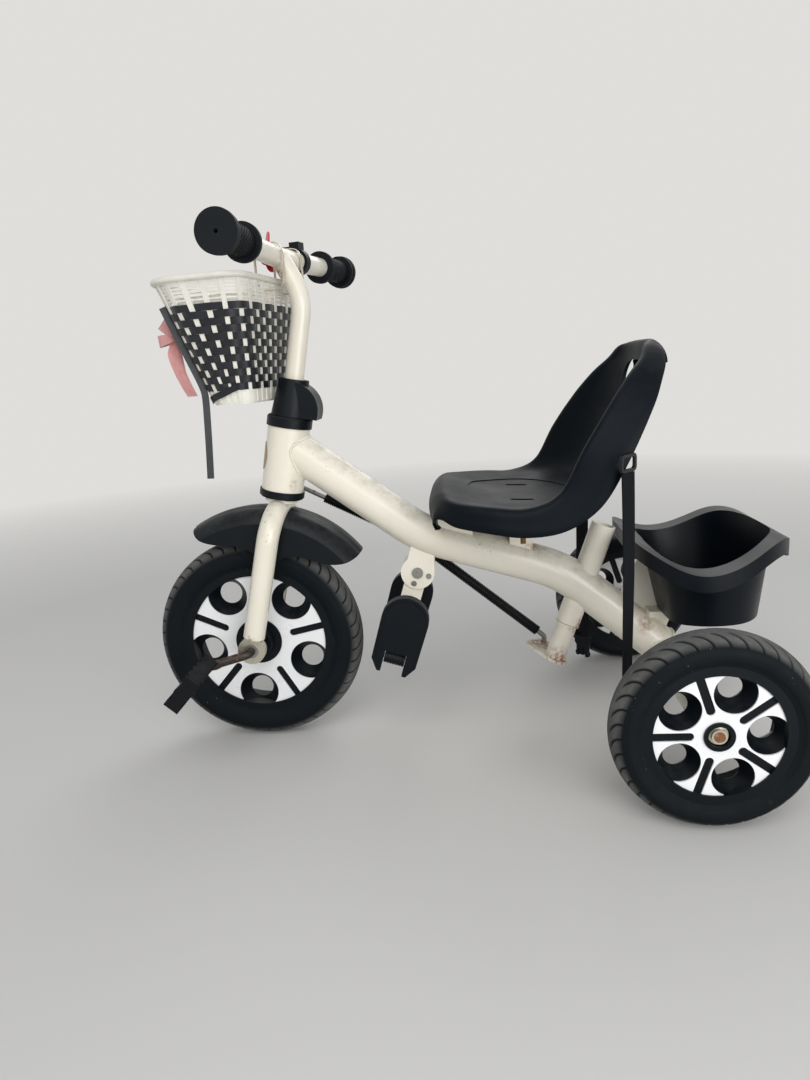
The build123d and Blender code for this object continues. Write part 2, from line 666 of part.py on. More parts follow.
def basket_strip():
    """A loose strip that stands on edge along the basket's left front corner and hangs below it."""
    high, out = basket_front(STRIP_TOP_Z, STRIP_TURN)
    low, out = basket_front(STRIP_LOW_Z, STRIP_TURN)
    middle = out * (STRIP_W / 2 - 1)
    along = high - low
    lie = Plane(origin=(high + low) / 2 + middle, x_dir=along, z_dir=out.cross(along))
    strip = lie * Box(along.length, STRIP_W, STRIP_THICK)
    down = Vector(*STRIP_HANG).normalized()
    hang = Plane(origin=low + middle, x_dir=down, z_dir=out.cross(down))
    strip += hang * Pos(STRIP_LEN / 2 - 3, 0, 0) * Box(STRIP_LEN + 6, STRIP_W - 2, STRIP_THICK)
    strip -= basket_block()
    keep("basket_strip", BAR * max(strip.solids(), key=lambda s: s.volume))


# Frame


def main_path():
    """The main tube's bends, from the head to the rear axle."""
    return [(steer_x(MAIN_TOP_Z), 0, MAIN_TOP_Z), *((x, 0, z) for x, z in MAIN_PATH), (REAR_X, 0, REAR_R + 3)]


def frame_tubes():
    """Main tube, socket tube and rear axle tube."""
    full = swept(main_path(), MAIN_R, MAIN_BEND)
    cutters = [
        STEER * rod_z(HEAD_R, -40, HEAD_LEN + 40),
        rod_y(AXLE_TUBE_R, -60, 60, REAR_X, REAR_R),
        SOCKET * rod_z(SOCKET_R, -60, SOCKET_LEN + 60),
    ]
    tube = full - swept(main_path(), MAIN_R - MAIN_WALL, MAIN_BEND)
    for cutter in cutters:
        tube -= cutter
    keep("main_tube", max(tube.solids(), key=lambda s: s.volume))
    keep("push_socket_tube", SOCKET * rod_z(SOCKET_R, 0, SOCKET_LEN, SOCKET_INNER_R + RUN_GAP))
    half = AXLE_TUBE_HALF
    axle_tube = rod_y(AXLE_TUBE_R, -half, half, REAR_X, REAR_R)
    axle_tube -= rod_y(AXLE_TUBE_R - 2.5, 16 - half, half - 16, REAR_X, REAR_R)
    keep("rear_axle_tube", axle_tube - rod_y(AXLE_R, -half - 1, half + 1, REAR_X, REAR_R))
    end = TRACK_HALF + FACE_HALF + 4
    keep("rear_axle", rod_y(AXLE_R, -end, end, REAR_X, REAR_R))
    inner = rod_y(WASHER_R, -half - INNER_WASHER, -half, REAR_X, REAR_R, AXLE_R)
    outer_y = TRACK_HALF + FACE_HALF - HUB_RECESS + SIDE_PLAY
    nut_y = outer_y + OUTER_WASHER
    outer = rod_y(WASHER_R, -nut_y, -outer_y, REAR_X, REAR_R, AXLE_R)
    nut = rod_y(NUT_R, -nut_y - NUT_LEN, -nut_y, REAR_X, REAR_R, AXLE_R)
    keep("rear_washers", *both_sides(inner), *both_sides(outer))
    keep("rear_nuts", *both_sides(nut))
    return full


def seat_grid():
    """Points over the seat's underside, row by row, evenly spaced along its length."""
    rows = SEAT_ROWS
    along = [0.0]
    for a, b in zip(rows, rows[1:]):
        along.append(along[-1] + math.dist(a[:2], b[:2]))
    grid = []
    count = 40
    for i in range(count):
        s = along[-1] * i / (count - 1)
        k = max(j for j in range(len(along) - 1) if along[j] <= s + 1e-9)
        t = (s - along[k]) / (along[k + 1] - along[k])
        p = [rows[max(0, min(len(rows) - 1, k + j))] for j in (-1, 0, 1, 2)]
        row = []
        for c in range(7):
            a0, a1, a2, a3 = (q[c] for q in p)
            curve = 2 * a1 + (a2 - a0) * t + (2 * a0 - 5 * a1 + 4 * a2 - a3) * t * t
            row.append(0.5 * (curve + (3 * a1 - a0 - 3 * a2 + a3) * t**3))
        grid.append(seat_row(row))
    return grid


def seat_row(row):
    """One row across the seat: flat in the middle, up to the rim, over it and down the skirt."""
    x, z, half, rim_x, rim_z, skirt_x, skirt_z = row
    points = []
    count = 31
    rim_at = 0.78
    for j in range(count):
        v = -1 + 2 * j / (count - 1)
        side = -1 if v < 0 else 1
        a = abs(v) / rim_at
        if a <= 1:
            g = a**4
            points.append(Vector(x + (rim_x - x) * g, half * v / rim_at, z + (rim_z - z) * g))
        else:
            u = (abs(v) - rim_at) / (1 - rim_at)
            out = 8.0 * math.sin(math.pi * min(u, 1) * 0.62)
            fall = u * u * (3 - 2 * u)
            points.append(Vector(rim_x + skirt_x * fall, side * (half + out), rim_z + skirt_z * fall))
    return points


def seat():
    """The moulded bucket seat with its handle hole, pan slots and belt slots."""
    face = Face.make_surface_from_array_of_points(seat_grid(), tol=0.3, min_deg=3, max_deg=3)
    shell = Solid.thicken(face, SEAT_WALL)
    hole = extrude(SlotOverall(*HANDLE_SIZE, rotation=90), 60, both=True)
    shell = shell - Pos(HANDLE_AT[0], 0, HANDLE_AT[1]) * Rot(0, HANDLE_LEAN, 0) * hole
    for y in (-SLOT_Y, SLOT_Y):
        shell -= Pos(SEAT_RISERS[1][0], y, SEAT_UNDER) * extrude(SlotOverall(SLOT_LEN, SLOT_W), 30, both=True)
    dish = Pos(DISH_X, 0, 0) * extrude(Ellipse(*DISH_RADII), 2 * SEAT_UNDER)
    shell -= dish & Pos(0, 0, SEAT_WALL - DISH_DEEP) * shell
    for ring in both_sides(STRAP * belt_ring()):
        shell -= ring
    shell = max(shell.solids(), key=lambda s: s.volume)
    keep("seat", shell)
    return shell


def seat_supports(tube, shell):
    """A riser under the front and under the middle of the pan, and the bolts through the pan's slots."""
    risers = []
    for x, length, half in SEAT_RISERS:
        block = Pos(x, 0, SEAT_UNDER - 40) * Box(length, 2 * half, 90)
        if half < SLOT_Y:
            block += Pos(x, 0, SEAT_UNDER - 4) * Box(length, 2 * SLOT_Y + 24, 8)
        block = block - tube - shell - Pos(x, 0, SEAT_UNDER + 60) * Box(200, 300, 100)
        risers.append(max(block.solids(), key=lambda s: s.volume))
    x = SEAT_RISERS[1][0]
    bolts = []
    for y in (-SLOT_Y, SLOT_Y):
        bolts.append(Pos(x, y, 0) * rod_z(SLOT_W / 2 - 1.5, SEAT_UNDER - 46, SEAT_UNDER))
    keep("seat_risers", *(riser - bolts[0] - bolts[1] for riser in risers))
    keep("seat_bolts", *(bolt - shell for bolt in bolts))


def bin_wave(lift):
    """Everything under the bin's waving rim line, moved by lift."""
    top = Spline(*((x, z + lift) for x, z in BIN_WAVE))
    (x0, z0), (x1, z1) = BIN_WAVE[0], BIN_WAVE[-1]
    rest = Polyline((x1, z1 + lift), (x1, 60), (x0, 60), (x0, z0 + lift))
    return side_prism(make_face([top, rest]), -160, 160)


def bin_outline(half, z, grow=0.0):
    """A closed outline at a height, from the points of its right half, grown outward."""
    ring = list(half) + [(x, -y) for x, y in reversed(half[1:-1])]
    points = []
    for k, (x, y) in enumerate(ring):
        before, after = ring[k - 1], ring[(k + 1) % len(ring)]
        dx, dy = after[0] - before[0], after[1] - before[1]
        reach = math.hypot(dx, dy)
        points.append((x - grow * dy / reach, y + grow * dx / reach))
    return Plane.XY.offset(z) * make_face([Spline(*points, periodic=True)])


def bin_box():
    """The rear bin: a tapering tub with a wide turned-down rim that dips at its sides."""
    top, low = 262.0, BIN_FLOOR_Z
    tub = loft([bin_outline(BIN_FLOOR, low), bin_outline(BIN_RIM, top)])
    inside = loft([
        bin_outline(BIN_FLOOR, low + BIN_WALL, -BIN_WALL),
        bin_outline(BIN_RIM, top + 1, -BIN_WALL),
    ])
    lip = extrude(bin_outline(BIN_RIM, 120, BIN_LIP), 180)
    lip_inside = extrude(bin_outline(BIN_RIM, 100, BIN_LIP - BIN_WALL), 220)
    rim = (lip & bin_wave(0)) - bin_wave(-BIN_LIP_DROP)
    rim -= lip_inside & bin_wave(-BIN_WALL)
    return rim + (tub & bin_wave(-BIN_WALL / 2)) - inside


def bin_support(tube, body):
    """The bin, the plate behind the seat that carries it, and the screws through its floor."""
    edge = Polyline((425, 150), (452, 205), (492, 205), (492, 139), (480, 110), (425, 150))
    plate = side_prism(make_face([edge]), -2, 2)
    plate += Pos(490, 0, BIN_FLOOR_Z - 3.5) * Box(60, 50, 7)
    plate = plate - tube - body - rod_y(AXLE_TUBE_R, -60, 60, REAR_X, REAR_R)
    plate = max(plate.solids(), key=lambda s: s.volume)
    inside = BIN_FLOOR_Z + BIN_WALL
    screws = []
    for y in (-BIN_SCREW_Y, BIN_SCREW_Y):
        at = Pos(BIN_SCREW_X, y, 0)
        screw = rod_z(BIN_SCREW_R, BIN_FLOOR_Z - 6, inside) + rod_z(2 * BIN_SCREW_R, inside, inside + 3)
        hole = at * rod_z(BIN_SCREW_R, 100, inside + 1)
        screws.append(at * screw)
        plate -= hole
        body -= hole
    keep("rear_bin", body)
    keep("bin_bracket", plate)
    keep("bin_screws", *screws)


# Push-bar steering and foot rest


def push_steering():
    """The turning inner tube of the socket, its arm plate, the link to the fork and the fork's arm."""
    inner = rod_z(SOCKET_INNER_R, -CUP_DROP, SOCKET_LEN - 6, PUSH_BORE_R)
    inner += rod_z(SOCKET_R + 0.3, -2.6, -0.6, SOCKET_INNER_R - 0.5)
    inner -= rod_z(PUSH_BORE_R, -CUP_DROP + 3, SOCKET_LEN)
    inner += rod_z(PUSH_BORE_R, -CUP_DROP, -CUP_DROP + 3)
    marks = [Circle(16.0), Pos(-26, 20) * Circle(9.0), Pos(LINK_FORE, LINK_ARM) * Circle(9.0)]
    plate = make_hull([edge for mark in marks for edge in mark.edges()])
    plate = extrude(plate, -3.0) - Pos(LINK_FORE, LINK_ARM, -1.5) * Cylinder(LINK_R + 1.8, 5)
    keep("push_socket_core", SOCKET * (inner + Pos(0, 0, -CUP_DROP) * plate))
    marks = [Circle(19.0), Pos(LINK_FORE, LINK_ARM) * Circle(8.5)]
    arm = make_hull([edge for mark in marks for edge in mark.edges()])
    arm = extrude(arm, -4.0) - Pos(0, 0, -2) * Cylinder(STEERER_R, 6)
    arm -= Pos(LINK_FORE, LINK_ARM, -2) * Cylinder(LINK_R + RUN_GAP, 6)
    top = -LOW_CUP_LEN - TURN_GAP
    keep("steering_arm", STEER * Pos(0, 0, top) * arm - fork_arch(FORK_TUBE_R))
    link(top)


def link(top):
    """The bent link rod and the ribbed sleeve over it."""
    front_low = (STEER * Pos(LINK_FORE, LINK_ARM, top - 6)).position
    front_top = (STEER * Pos(LINK_FORE, LINK_ARM, top + 15)).position
    hole = (SOCKET * Pos(LINK_FORE, LINK_ARM, -CUP_DROP - 1.5)).position
    along = (STEER * Pos(0, 0, 1)).position - (STEER * Pos(0, 0, 0)).position
    rear_top = hole + along * 9
    rear_low = hole - along * 7
    knee = Vector(LINK_KNEE[0], LINK_ARM, LINK_KNEE[1])
    points = [tuple(p) for p in (front_low, front_top, knee, rear_top, rear_low)]
    keep("link_rod", swept(points, LINK_R, (6.5, LINK_BEND, 6.5)))
    run = FilletPolyline(*points[1:-1], radius=LINK_BEND)
    step = SLEEVE_PITCH
    tail = 2 * SLEEVE_R
    first = SLEEVE_START + tail
    circles = [(SLEEVE_START, SLEEVE_ROOT_R)]
    for k in range(SLEEVE_RIBS):
        s = first + k * step
        circles += [(s, SLEEVE_ROOT_R), (s + 0.3 * step, SLEEVE_R), (s + 0.6 * step, SLEEVE_R)]
        circles += [(s + 0.9 * step, SLEEVE_ROOT_R)]
    circles.append((first + SLEEVE_RIBS * step + tail, SLEEVE_ROOT_R))
    faces = []
    for s, r in circles:
        at = run.position_at(s, position_mode=PositionMode.LENGTH)
        heading = run.tangent_at(s, position_mode=PositionMode.LENGTH)
        faces.append(Plane(origin=at, x_dir=(0, 1, 0), z_dir=heading) * Circle(r))
    sleeve = loft(faces, ruled=True)
    start = Plane(origin=run.position_at(0), x_dir=(0, 1, 0), z_dir=run.tangent_at(0))
    keep("link_sleeve", sleeve - sweep(start * Circle(LINK_R), run))


def foot_rest(tube):
    """Bracket, pivot, arm and beam of the folding foot rest, and its two pads."""
    disc = Pos(REST_X, REST_Z) * Circle(REST_DISC_R)
    neck = make_face([Polyline((192, 236), (218, 236), (216.5, 200), (182, 205), (192, 236))])
    plate = side_prism(disc + neck, -REST_INNER - REST_PLATE, -REST_INNER)
    plate -= rod_y(5.0, -40, 40, REST_X, REST_Z)
    plates = [max((piece - tube).solids(), key=lambda s: s.volume) for piece in both_sides(plate)]
    keep("rest_bracket", *plates)
    out = REST_INNER + REST_PLATE
    pivot = rod_y(5.0, -out, out, REST_X, REST_Z)
    pivot += rod_y(6.5, -out - 2, -out, REST_X, REST_Z) + rod_y(6.5, out, out + 2, REST_X, REST_Z)
    rivets = []
    for x, z in ((12.8, -4.6), (-5.0, -12.6)):
        rivets += both_sides(rod_y(3.2, -out - 1.2, -out, REST_X + x, REST_Z + z))
    keep("rest_pins", pivot, *rivets)
    arm = rod_y(16.0, -REST_INNER + 0.5, REST_INNER - 0.5)
    arm += Pos(0, 0, -REST_LEN / 2) * Box(REST_ARM_W, 2 * REST_INNER - 1, REST_LEN)
    arm -= rod_y(5.0 + RUN_GAP, -20, 20)
    beam = Pos(0, 0, -REST_LEN) * Box(2 * LUG_HALF, 2 * REST_BEAM_HALF, 13)
    for y in (-PAD_HINGE_Y, PAD_HINGE_Y):
        beam += Pos(0, y, -REST_LEN) * Rot(0, 90, 0) * Cylinder(6.5, 2 * LUG_HALF)
        beam += Pos(0, y * 0.9, -REST_LEN) * Box(2 * LUG_HALF, 0.2 * PAD_HINGE_Y, 13)
        beam -= Pos(0, y, -REST_LEN) * Rot(0, 90, 0) * Cylinder(PAD_PIN_R, 80)
    keep("rest_arm", REST * (arm + beam))
    pin = Pos(0, -PAD_HINGE_Y, -REST_LEN) * Rot(0, 90, 0) * Cylinder(PAD_PIN_R, PAD_W - 8)
    keep("pad_pins", *(REST * piece for piece in both_sides(pin)))
    for side, piece in zip(("left", "right"), both_sides(REST * Pos(0, 0, -REST_LEN) * foot_pad())):
        keep(f"foot_pad_{side}", piece)


def foot_pad():
    """The left pad folded up, about its hinge: arched at the top, notched for the lug below."""
    half = PAD_W / 2
    shoulder = PAD_UP - half
    foot = [(-half, shoulder), (-half + 1, -4), (-half + 10, -PAD_DOWN)]
    foot += [(-x, z) for x, z in reversed(foot)]
    face = make_face([Polyline(*foot), ThreePointArc((half, shoulder), (0, PAD_UP), (-half, shoulder))])
    y0 = -PAD_HINGE_Y - PAD_THICK / 2
    pad = side_prism(face, y0, y0 + PAD_THICK)
    pad += side_prism(offset(face, -4), y0 - 1.2, y0)
    pad -= Pos(0, -PAD_HINGE_Y, -PAD_DOWN + 4) * Box(2 * LUG_HALF + 1.2, 60, 2 * PAD_DOWN + 8.5)
    pad -= Pos(0, -PAD_HINGE_Y, 0) * Rot(0, 90, 0) * Cylinder(PAD_PIN_R + RUN_GAP, PAD_W - 7)
    return pad


# Belt


def belt_ring():
    """The left wire ring, its lower bar level with the strap's top."""
    wide, tall = STRAP_W + 2 + 2 * RING_WIRE, 11 + 2 * RING_WIRE
    ring = RectangleRounded(wide, tall, 5) - RectangleRounded(wide - 2 * RING_WIRE, tall - 2 * RING_WIRE, 3)
    ring = extrude(ring, RING_WIRE / 2, both=True)
    return Pos(0, 0, (tall - RING_WIRE) / 2) * Rot(90, 0, 0) * ring


def belt(at):
    """A strap on each side of the seat back, looped round its ring, with a buckle tongue at its end."""
    bend = 0.75 * RING_WIRE
    loop = Rot(0, 90, 0) * rod_z(bend + STRAP_THICK, -STRAP_W / 2, STRAP_W / 2, bend)
    strap = Pos(0, 0, -(STRAP_LEN + bend) / 2) * Box(STRAP_W, STRAP_THICK, STRAP_LEN - bend)
    for side, piece in zip(("left", "right"), both_sides(at * (loop + strap))):
        keep(f"belt_strap_{side}", piece)
    keep("belt_rings", *both_sides(at * belt_ring()))
    tongue = extrude(RectangleRounded(STRAP_W + 6, BUCKLE_LEN, 4), 3, both=True)
    keep("belt_tongues", *both_sides(at * Pos(0, 0, -STRAP_LEN - BUCKLE_LEN / 2) * Rot(90, 0, 0) * tongue))


def build():
    front_wheel()
    rear_wheels()
    pedals(crank())
    fork()
    fender()
    head()
    stem_clamp()
    handlebar()
    grips()
    basket()
    basket_ties()
    ornament()
    ribbon_bow()
    basket_strip()
    tube = frame_tubes()
    shell = seat()
    seat_supports(tube, shell)
    bin_support(tube, bin_box())
    push_steering()
    foot_rest(tube)
    belt(STRAP)


build()
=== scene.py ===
# %% [markdown]
# # A child's tricycle, dressed in Blender
# The solids of this tricycle come from a CAD file, and this lesson dresses them. Each cell makes one
# piece or one finish. Everything is in metres, and every finished object stays at the origin with its
# place in its mesh, so a pattern on Object coordinates stays where it is put.

# %% Load the solids
import math
import bmesh
import bpy
import numpy as np
from mathutils import Matrix, Vector


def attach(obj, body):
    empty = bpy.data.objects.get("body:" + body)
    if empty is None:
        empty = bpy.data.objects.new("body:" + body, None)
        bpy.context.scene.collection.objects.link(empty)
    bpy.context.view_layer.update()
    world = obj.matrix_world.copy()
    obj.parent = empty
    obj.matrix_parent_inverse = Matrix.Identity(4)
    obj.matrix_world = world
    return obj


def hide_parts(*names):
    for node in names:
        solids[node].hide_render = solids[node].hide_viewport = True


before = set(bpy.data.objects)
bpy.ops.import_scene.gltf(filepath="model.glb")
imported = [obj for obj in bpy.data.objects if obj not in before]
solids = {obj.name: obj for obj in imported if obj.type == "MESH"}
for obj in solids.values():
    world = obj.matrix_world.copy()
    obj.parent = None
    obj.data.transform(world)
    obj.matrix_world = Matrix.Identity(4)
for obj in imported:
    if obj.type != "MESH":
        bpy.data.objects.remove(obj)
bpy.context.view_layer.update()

# %% [markdown]
# ## Where things are
# The drawing measures in millimetres, along from the front axle and up from the floor. Small functions
# turn a drawing point into metres. The handlebar group was drawn straight and then turned in its clamp,
# so its points go through that turn as well.

# %% Drawing places
SHIFT = np.array([-241.5, 0.0, 0.0])
FRONT_AXLE = np.array([0.0, 0.0, 125.0])
REAR_AXLE = np.array([476.0, 0.0, 96.0])
TRACK_HALF = 207.5
SIDES = (("left", -1), ("right", 1))
STEER_LEAN = math.radians(11.7)
STEER_GROUND_X, HEAD_Z = -20.0, 306.0
STEER_AXIS = Vector((math.sin(STEER_LEAN), 0, math.cos(STEER_LEAN)))
HEAD_TILT = np.array(Matrix.Rotation(STEER_LEAN, 3, "Y"))
SOCKET_FOOT = np.array([371.0, 0.0, 130.0])
SOCKET_TILT = np.array(Matrix.Rotation(math.radians(20.0), 3, "Y"))
BAR_MIDDLE = np.array([62.0, 0.0, 563.0])
BAR_SWEEP = math.radians(5.2)
BAR_SWING = np.array(Matrix.Rotation(math.radians(-8.8), 3, STEER_AXIS))
BAR_ROLL = np.array(Matrix.Rotation(math.radians(1.7), 3, "X"))


def steer_x(z):
    """Where the steering axis is at a height."""
    return STEER_GROUND_X + z * math.tan(STEER_LEAN)


STEER_FOOT = np.array([steer_x(HEAD_Z), 0.0, HEAD_Z])


def metres(points):
    """Drawing millimetres to metres in the shared frame."""
    return (np.asarray(points, float) + SHIFT) / 1000


def on_bar(points):
    """A point of the handlebar group, before its turn, to metres."""
    rolled = (np.asarray(points, float) - BAR_MIDDLE) @ BAR_ROLL.T + BAR_MIDDLE
    return metres((rolled - STEER_FOOT) @ BAR_SWING.T + STEER_FOOT)


def way_on_bar(way):
    """A direction of the handlebar group, before its turn, in metres for each millimetre."""
    return on_bar([way])[0] - on_bar([[0, 0, 0]])[0]


def on_head(points):
    """A point given along and about the steering axis, to metres."""
    return metres(np.asarray(points, float) @ HEAD_TILT.T + STEER_FOOT)


def on_socket(points):
    """A point given along and about the push-bar socket, to metres."""
    return metres(np.asarray(points, float) @ SOCKET_TILT.T + SOCKET_FOOT)


print("bar middle", on_bar([BAR_MIDDLE])[0])

# %% [markdown]
# ## Camera
# The camera stands where the photographer stood. Its three directions were worked out from the wheels,
# so they are written as yaw, pitch and roll, and the lens from the focal length in picture heights.

# %% Camera
CAMERA_AT = (263.8, -865.75, 438.84)
CAMERA_TURNS = (-5.302, 12.998, 3.719)
FOCAL_PX, HIGH_PX, SENSOR = 757.01, 1080, 36.0
scene = bpy.context.scene
yaw, pitch, roll = (math.radians(turn) for turn in CAMERA_TURNS)
look = Vector((math.sin(yaw) * math.cos(pitch), math.cos(yaw) * math.cos(pitch), -math.sin(pitch)))
right = Vector((math.cos(yaw), -math.sin(yaw), 0))
down = look.cross(right)
rolled_right = right * math.cos(roll) + down * math.sin(roll)
rolled_down = down * math.cos(roll) - right * math.sin(roll)
lens = bpy.data.cameras.new("photo_camera")
lens.sensor_width = SENSOR
lens.lens = SENSOR * FOCAL_PX / HIGH_PX
camera = bpy.data.objects.new("photo_camera", lens)
scene.collection.objects.link(camera)
place = Matrix((rolled_right, -rolled_down, -look)).transposed().to_4x4()
place.translation = Vector(metres(CAMERA_AT))
camera.matrix_world = place
scene.camera = camera
print("camera at", tuple(camera.location))

# %% [markdown]
# ## Building finishes
# A finish is a Principled shader with a few textures in front of it. These helpers add a node, mix two
# colours by a mask, and stretch a mask between two levels. They keep the finishes below short.

# %% Node helpers


def feed(tree, node, values):
    """Links outputs to a node's inputs, or sets the inputs' plain values."""
    for key, value in values.items():
        if isinstance(value, bpy.types.NodeSocket):
            tree.links.new(value, node.inputs[key])
        else:
            node.inputs[key].default_value = value


def add(tree, kind, values=None, **settings):
    """A new node with its inputs and settings."""
    node = tree.nodes.new(kind)
    for key, value in settings.items():
        setattr(node, key, value)
    feed(tree, node, values or {})
    return node


def new_finish(name, colour, rough, metal=0.0):
    """A material with its shader's plain values set, and its tree."""
    material = bpy.data.materials.new(name)
    material.use_nodes = True
    tree = material.node_tree
    values = {"Base Color": (*colour, 1), "Roughness": rough, "Metallic": metal}
    feed(tree, tree.nodes["Principled BSDF"], values)
    return material, tree


def dress(material, values, height, depth, strength):
    """The end of each finish: its shader gets its inputs, and a bump of a depth in metres."""
    tree = material.node_tree
    bump = add(tree, "ShaderNodeBump", {"Height": height, "Distance": depth, "Strength": strength})
    feed(tree, tree.nodes["Principled BSDF"], {**values, "Normal": bump.outputs["Normal"]})
    return material


def coords(tree, kind="Object"):
    """A place on the piece, in metres or on its UV map."""
    return add(tree, "ShaderNodeTexCoord").outputs[kind]


def noise(tree, scale, detail=6.0, rough=0.6, stretch=None):
    """A noise mask of a feature size, in features for each metre."""
    place = coords(tree)
    if stretch:
        place = add(tree, "ShaderNodeMapping", {"Vector": place, "Scale": stretch}).outputs["Vector"]
    values = {"Vector": place, "Scale": scale, "Detail": detail, "Roughness": rough}
    return add(tree, "ShaderNodeTexNoise", values).outputs["Fac"]


def level(tree, mask, low, high, out_low=0.0, out_high=1.0):
    """A mask stretched between two levels."""
    values = {"Value": mask, "From Min": low, "From Max": high, "To Min": out_low, "To Max": out_high}
    return add(tree, "ShaderNodeMapRange", values, clamp=True).outputs["Result"]


def cloud(tree, scale, low, high, detail=6.0, rough=0.6, stretch=None):
    """Patches of noise: 0 below the low level and 1 above the high one."""
    return level(tree, noise(tree, scale, detail, rough, stretch), low, high)


def times(tree, a, b, how="MULTIPLY"):
    """Two masks multiplied, or joined in another way."""
    return add(tree, "ShaderNodeMath", {0: a, 1: b}, operation=how).outputs[0]


def blend(tree, mask, under, over, share=None):
    """One colour over another by a mask, or by a share of it: 6, 7 and 2 are the colour sockets."""
    mask = mask if share is None else times(tree, mask, share)
    ends = [c if isinstance(c, bpy.types.NodeSocket) else (*c, 1) for c in (under, over)]
    return add(tree, "ShaderNodeMix", {0: mask, 6: ends[0], 7: ends[1]}, data_type="RGBA").outputs[2]


print("node helpers ready")

# %% [markdown]
# Wear comes in patches: where dust settles, where stones hit, and near a few known places. Each helper
# here makes one such mask.

# %% Masks of wear


def facing_up(tree, low=0.15, high=0.95):
    """A mask of what faces up, where dust settles and where the black plastics get a painted sheen."""
    normal = add(tree, "ShaderNodeNewGeometry").outputs["Normal"]
    return level(tree, add(tree, "ShaderNodeSeparateXYZ", {"Vector": normal}).outputs["Z"], low, high)


def specks(tree, scale, low, high, patch, patch_low, patch_high):
    """Small dots that come in patches."""
    cells = add(tree, "ShaderNodeTexVoronoi", {"Vector": coords(tree), "Scale": scale})
    dots = level(tree, cells.outputs["Distance"], low, high, 1.0, 0.0)
    return times(tree, dots, cloud(tree, patch, patch_low, patch_high, 3))


def near(tree, point, low, high):
    """A mask that is 1 near a point in metres and 0 away from it."""
    place = add(tree, "ShaderNodeVectorMath", {0: coords(tree), 1: tuple(point)}, operation="DISTANCE")
    return level(tree, place.outputs["Value"], low, high, 1.0, 0.0)


def wear_of(tree, spots):
    """Several near masks, the strongest at each place, broken up by noise."""
    total = None
    for point, reach in spots:
        mask = near(tree, point, 0.2 * reach, reach)
        total = mask if total is None else times(tree, total, mask, "MAXIMUM")
    return times(tree, total, cloud(tree, 260, 0.38, 0.6, 8))


print("mask helpers ready")

# %% [markdown]
# ## White frame paint
# The frame is sprayed a warm white. Use has left it grimy on top, speckled where stones hit it, and
# rusty at the lower end of the push-bar socket and at the joints. Masks of noise, of what faces up and
# of a few known places mix those into the base colour.

# %% White paint
RUST = (0.26, 0.09, 0.028)
PALE = (0.84, 0.80, 0.69)


def white_paint(name, grime, rust_spots):
    """Warm white paint with grime on top and rust near some places."""
    material, tree = new_finish(name, PALE, 0.3)
    tint = blend(tree, cloud(tree, 9, 0.35, 0.7, 4), PALE, (0.79, 0.745, 0.62))
    dirt = times(tree, facing_up(tree), cloud(tree, 70, 0.42, 0.72, 9, 0.72))
    tint = blend(tree, dirt, tint, (0.27, 0.23, 0.165), grime)
    chips = times(tree, specks(tree, 210.0, 0.10, 0.2, 26, 0.56, 0.64), facing_up(tree, -0.2, 0.5))
    tint = blend(tree, chips, tint, (0.10, 0.075, 0.055), 0.75)
    scuffs = cloud(tree, 14, 0.66, 0.72, 8, 0.75, stretch=(9, 9, 1.5))
    tint = blend(tree, scuffs, tint, (0.45, 0.42, 0.36), 0.35)
    rust = wear_of(tree, rust_spots)
    rough = times(tree, level(tree, dirt, 0.0, 1.0, 0.27, 0.62), times(tree, rust, 0.5), "ADD")
    values = {"Base Color": blend(tree, rust, tint, RUST), "Roughness": rough,
              "Coat Weight": 0.25, "Coat Roughness": 0.18}
    return dress(material, values, noise(tree, 700, 2), 0.0003, 0.25)


frame_paint = white_paint("frame_white", 0.85, [
    (on_socket([14, -6, 4]), 0.014), (metres([455, -14, 128]), 0.014),
    (metres([330, -8, 226]), 0.012), (metres([66, -24, 312]), 0.012),
])
fork_paint = white_paint("fork_white", 0.5, [
    (metres([3, -59, 142]), 0.007), (metres([6, 59, 142]), 0.007), (on_bar([66, -6, 545]), 0.012),
])
socket_paint = white_paint("socket_white", 0.6, [
    (on_socket([4, -12, -48]), 0.024), (on_socket([-14, 30, -48]), 0.034),
    (on_socket([10, -10, -2]), 0.012),
])
print("paints", frame_paint.name, fork_paint.name, socket_paint.name)

# %% [markdown]
# ## Black plastics
# The seat, bin, fender and cowl are moulded in black plastic with a satin skin and a very fine grain.
# What faces up is paler, partly from dust and partly from a painted sheen, and thin scratches run over it.
# One function makes all of them, because they differ only in colour, roughness, grain, shine and wear.

# %% Black plastics


def black_plastic(name, colour, rough, dust, scratch=0.25, grain=1500, shine=0.17):
    """Satin black plastic with grain, dust and a painted sheen on top, and thin scratches."""
    material, tree = new_finish(name, colour, rough)
    pale = tuple(3 * c + 0.012 for c in colour)
    # What faces up gets a paler grey: partly dust, partly a painted sheen on top.
    dust_and_sheen = times(tree, facing_up(tree, 0.2, 1.0), cloud(tree, 55, 0.4, 0.75, 9, 0.7))
    tint = blend(tree, dust_and_sheen, colour, (0.105, 0.108, 0.11), dust)
    lines = cloud(tree, 30, 0.67, 0.7, 5, 0.8, stretch=(1, 14, 14))
    tint = blend(tree, lines, tint, pale, scratch)
    patches = level(tree, noise(tree, 16, 5), 0.3, 0.75, rough - 0.07, rough + 0.12)
    values = {"Base Color": tint, "Specular IOR Level": shine,
              "Roughness": times(tree, patches, times(tree, dust_and_sheen, 0.25 * dust), "ADD")}
    return dress(material, values, noise(tree, grain, 2), 0.0002, 0.35)
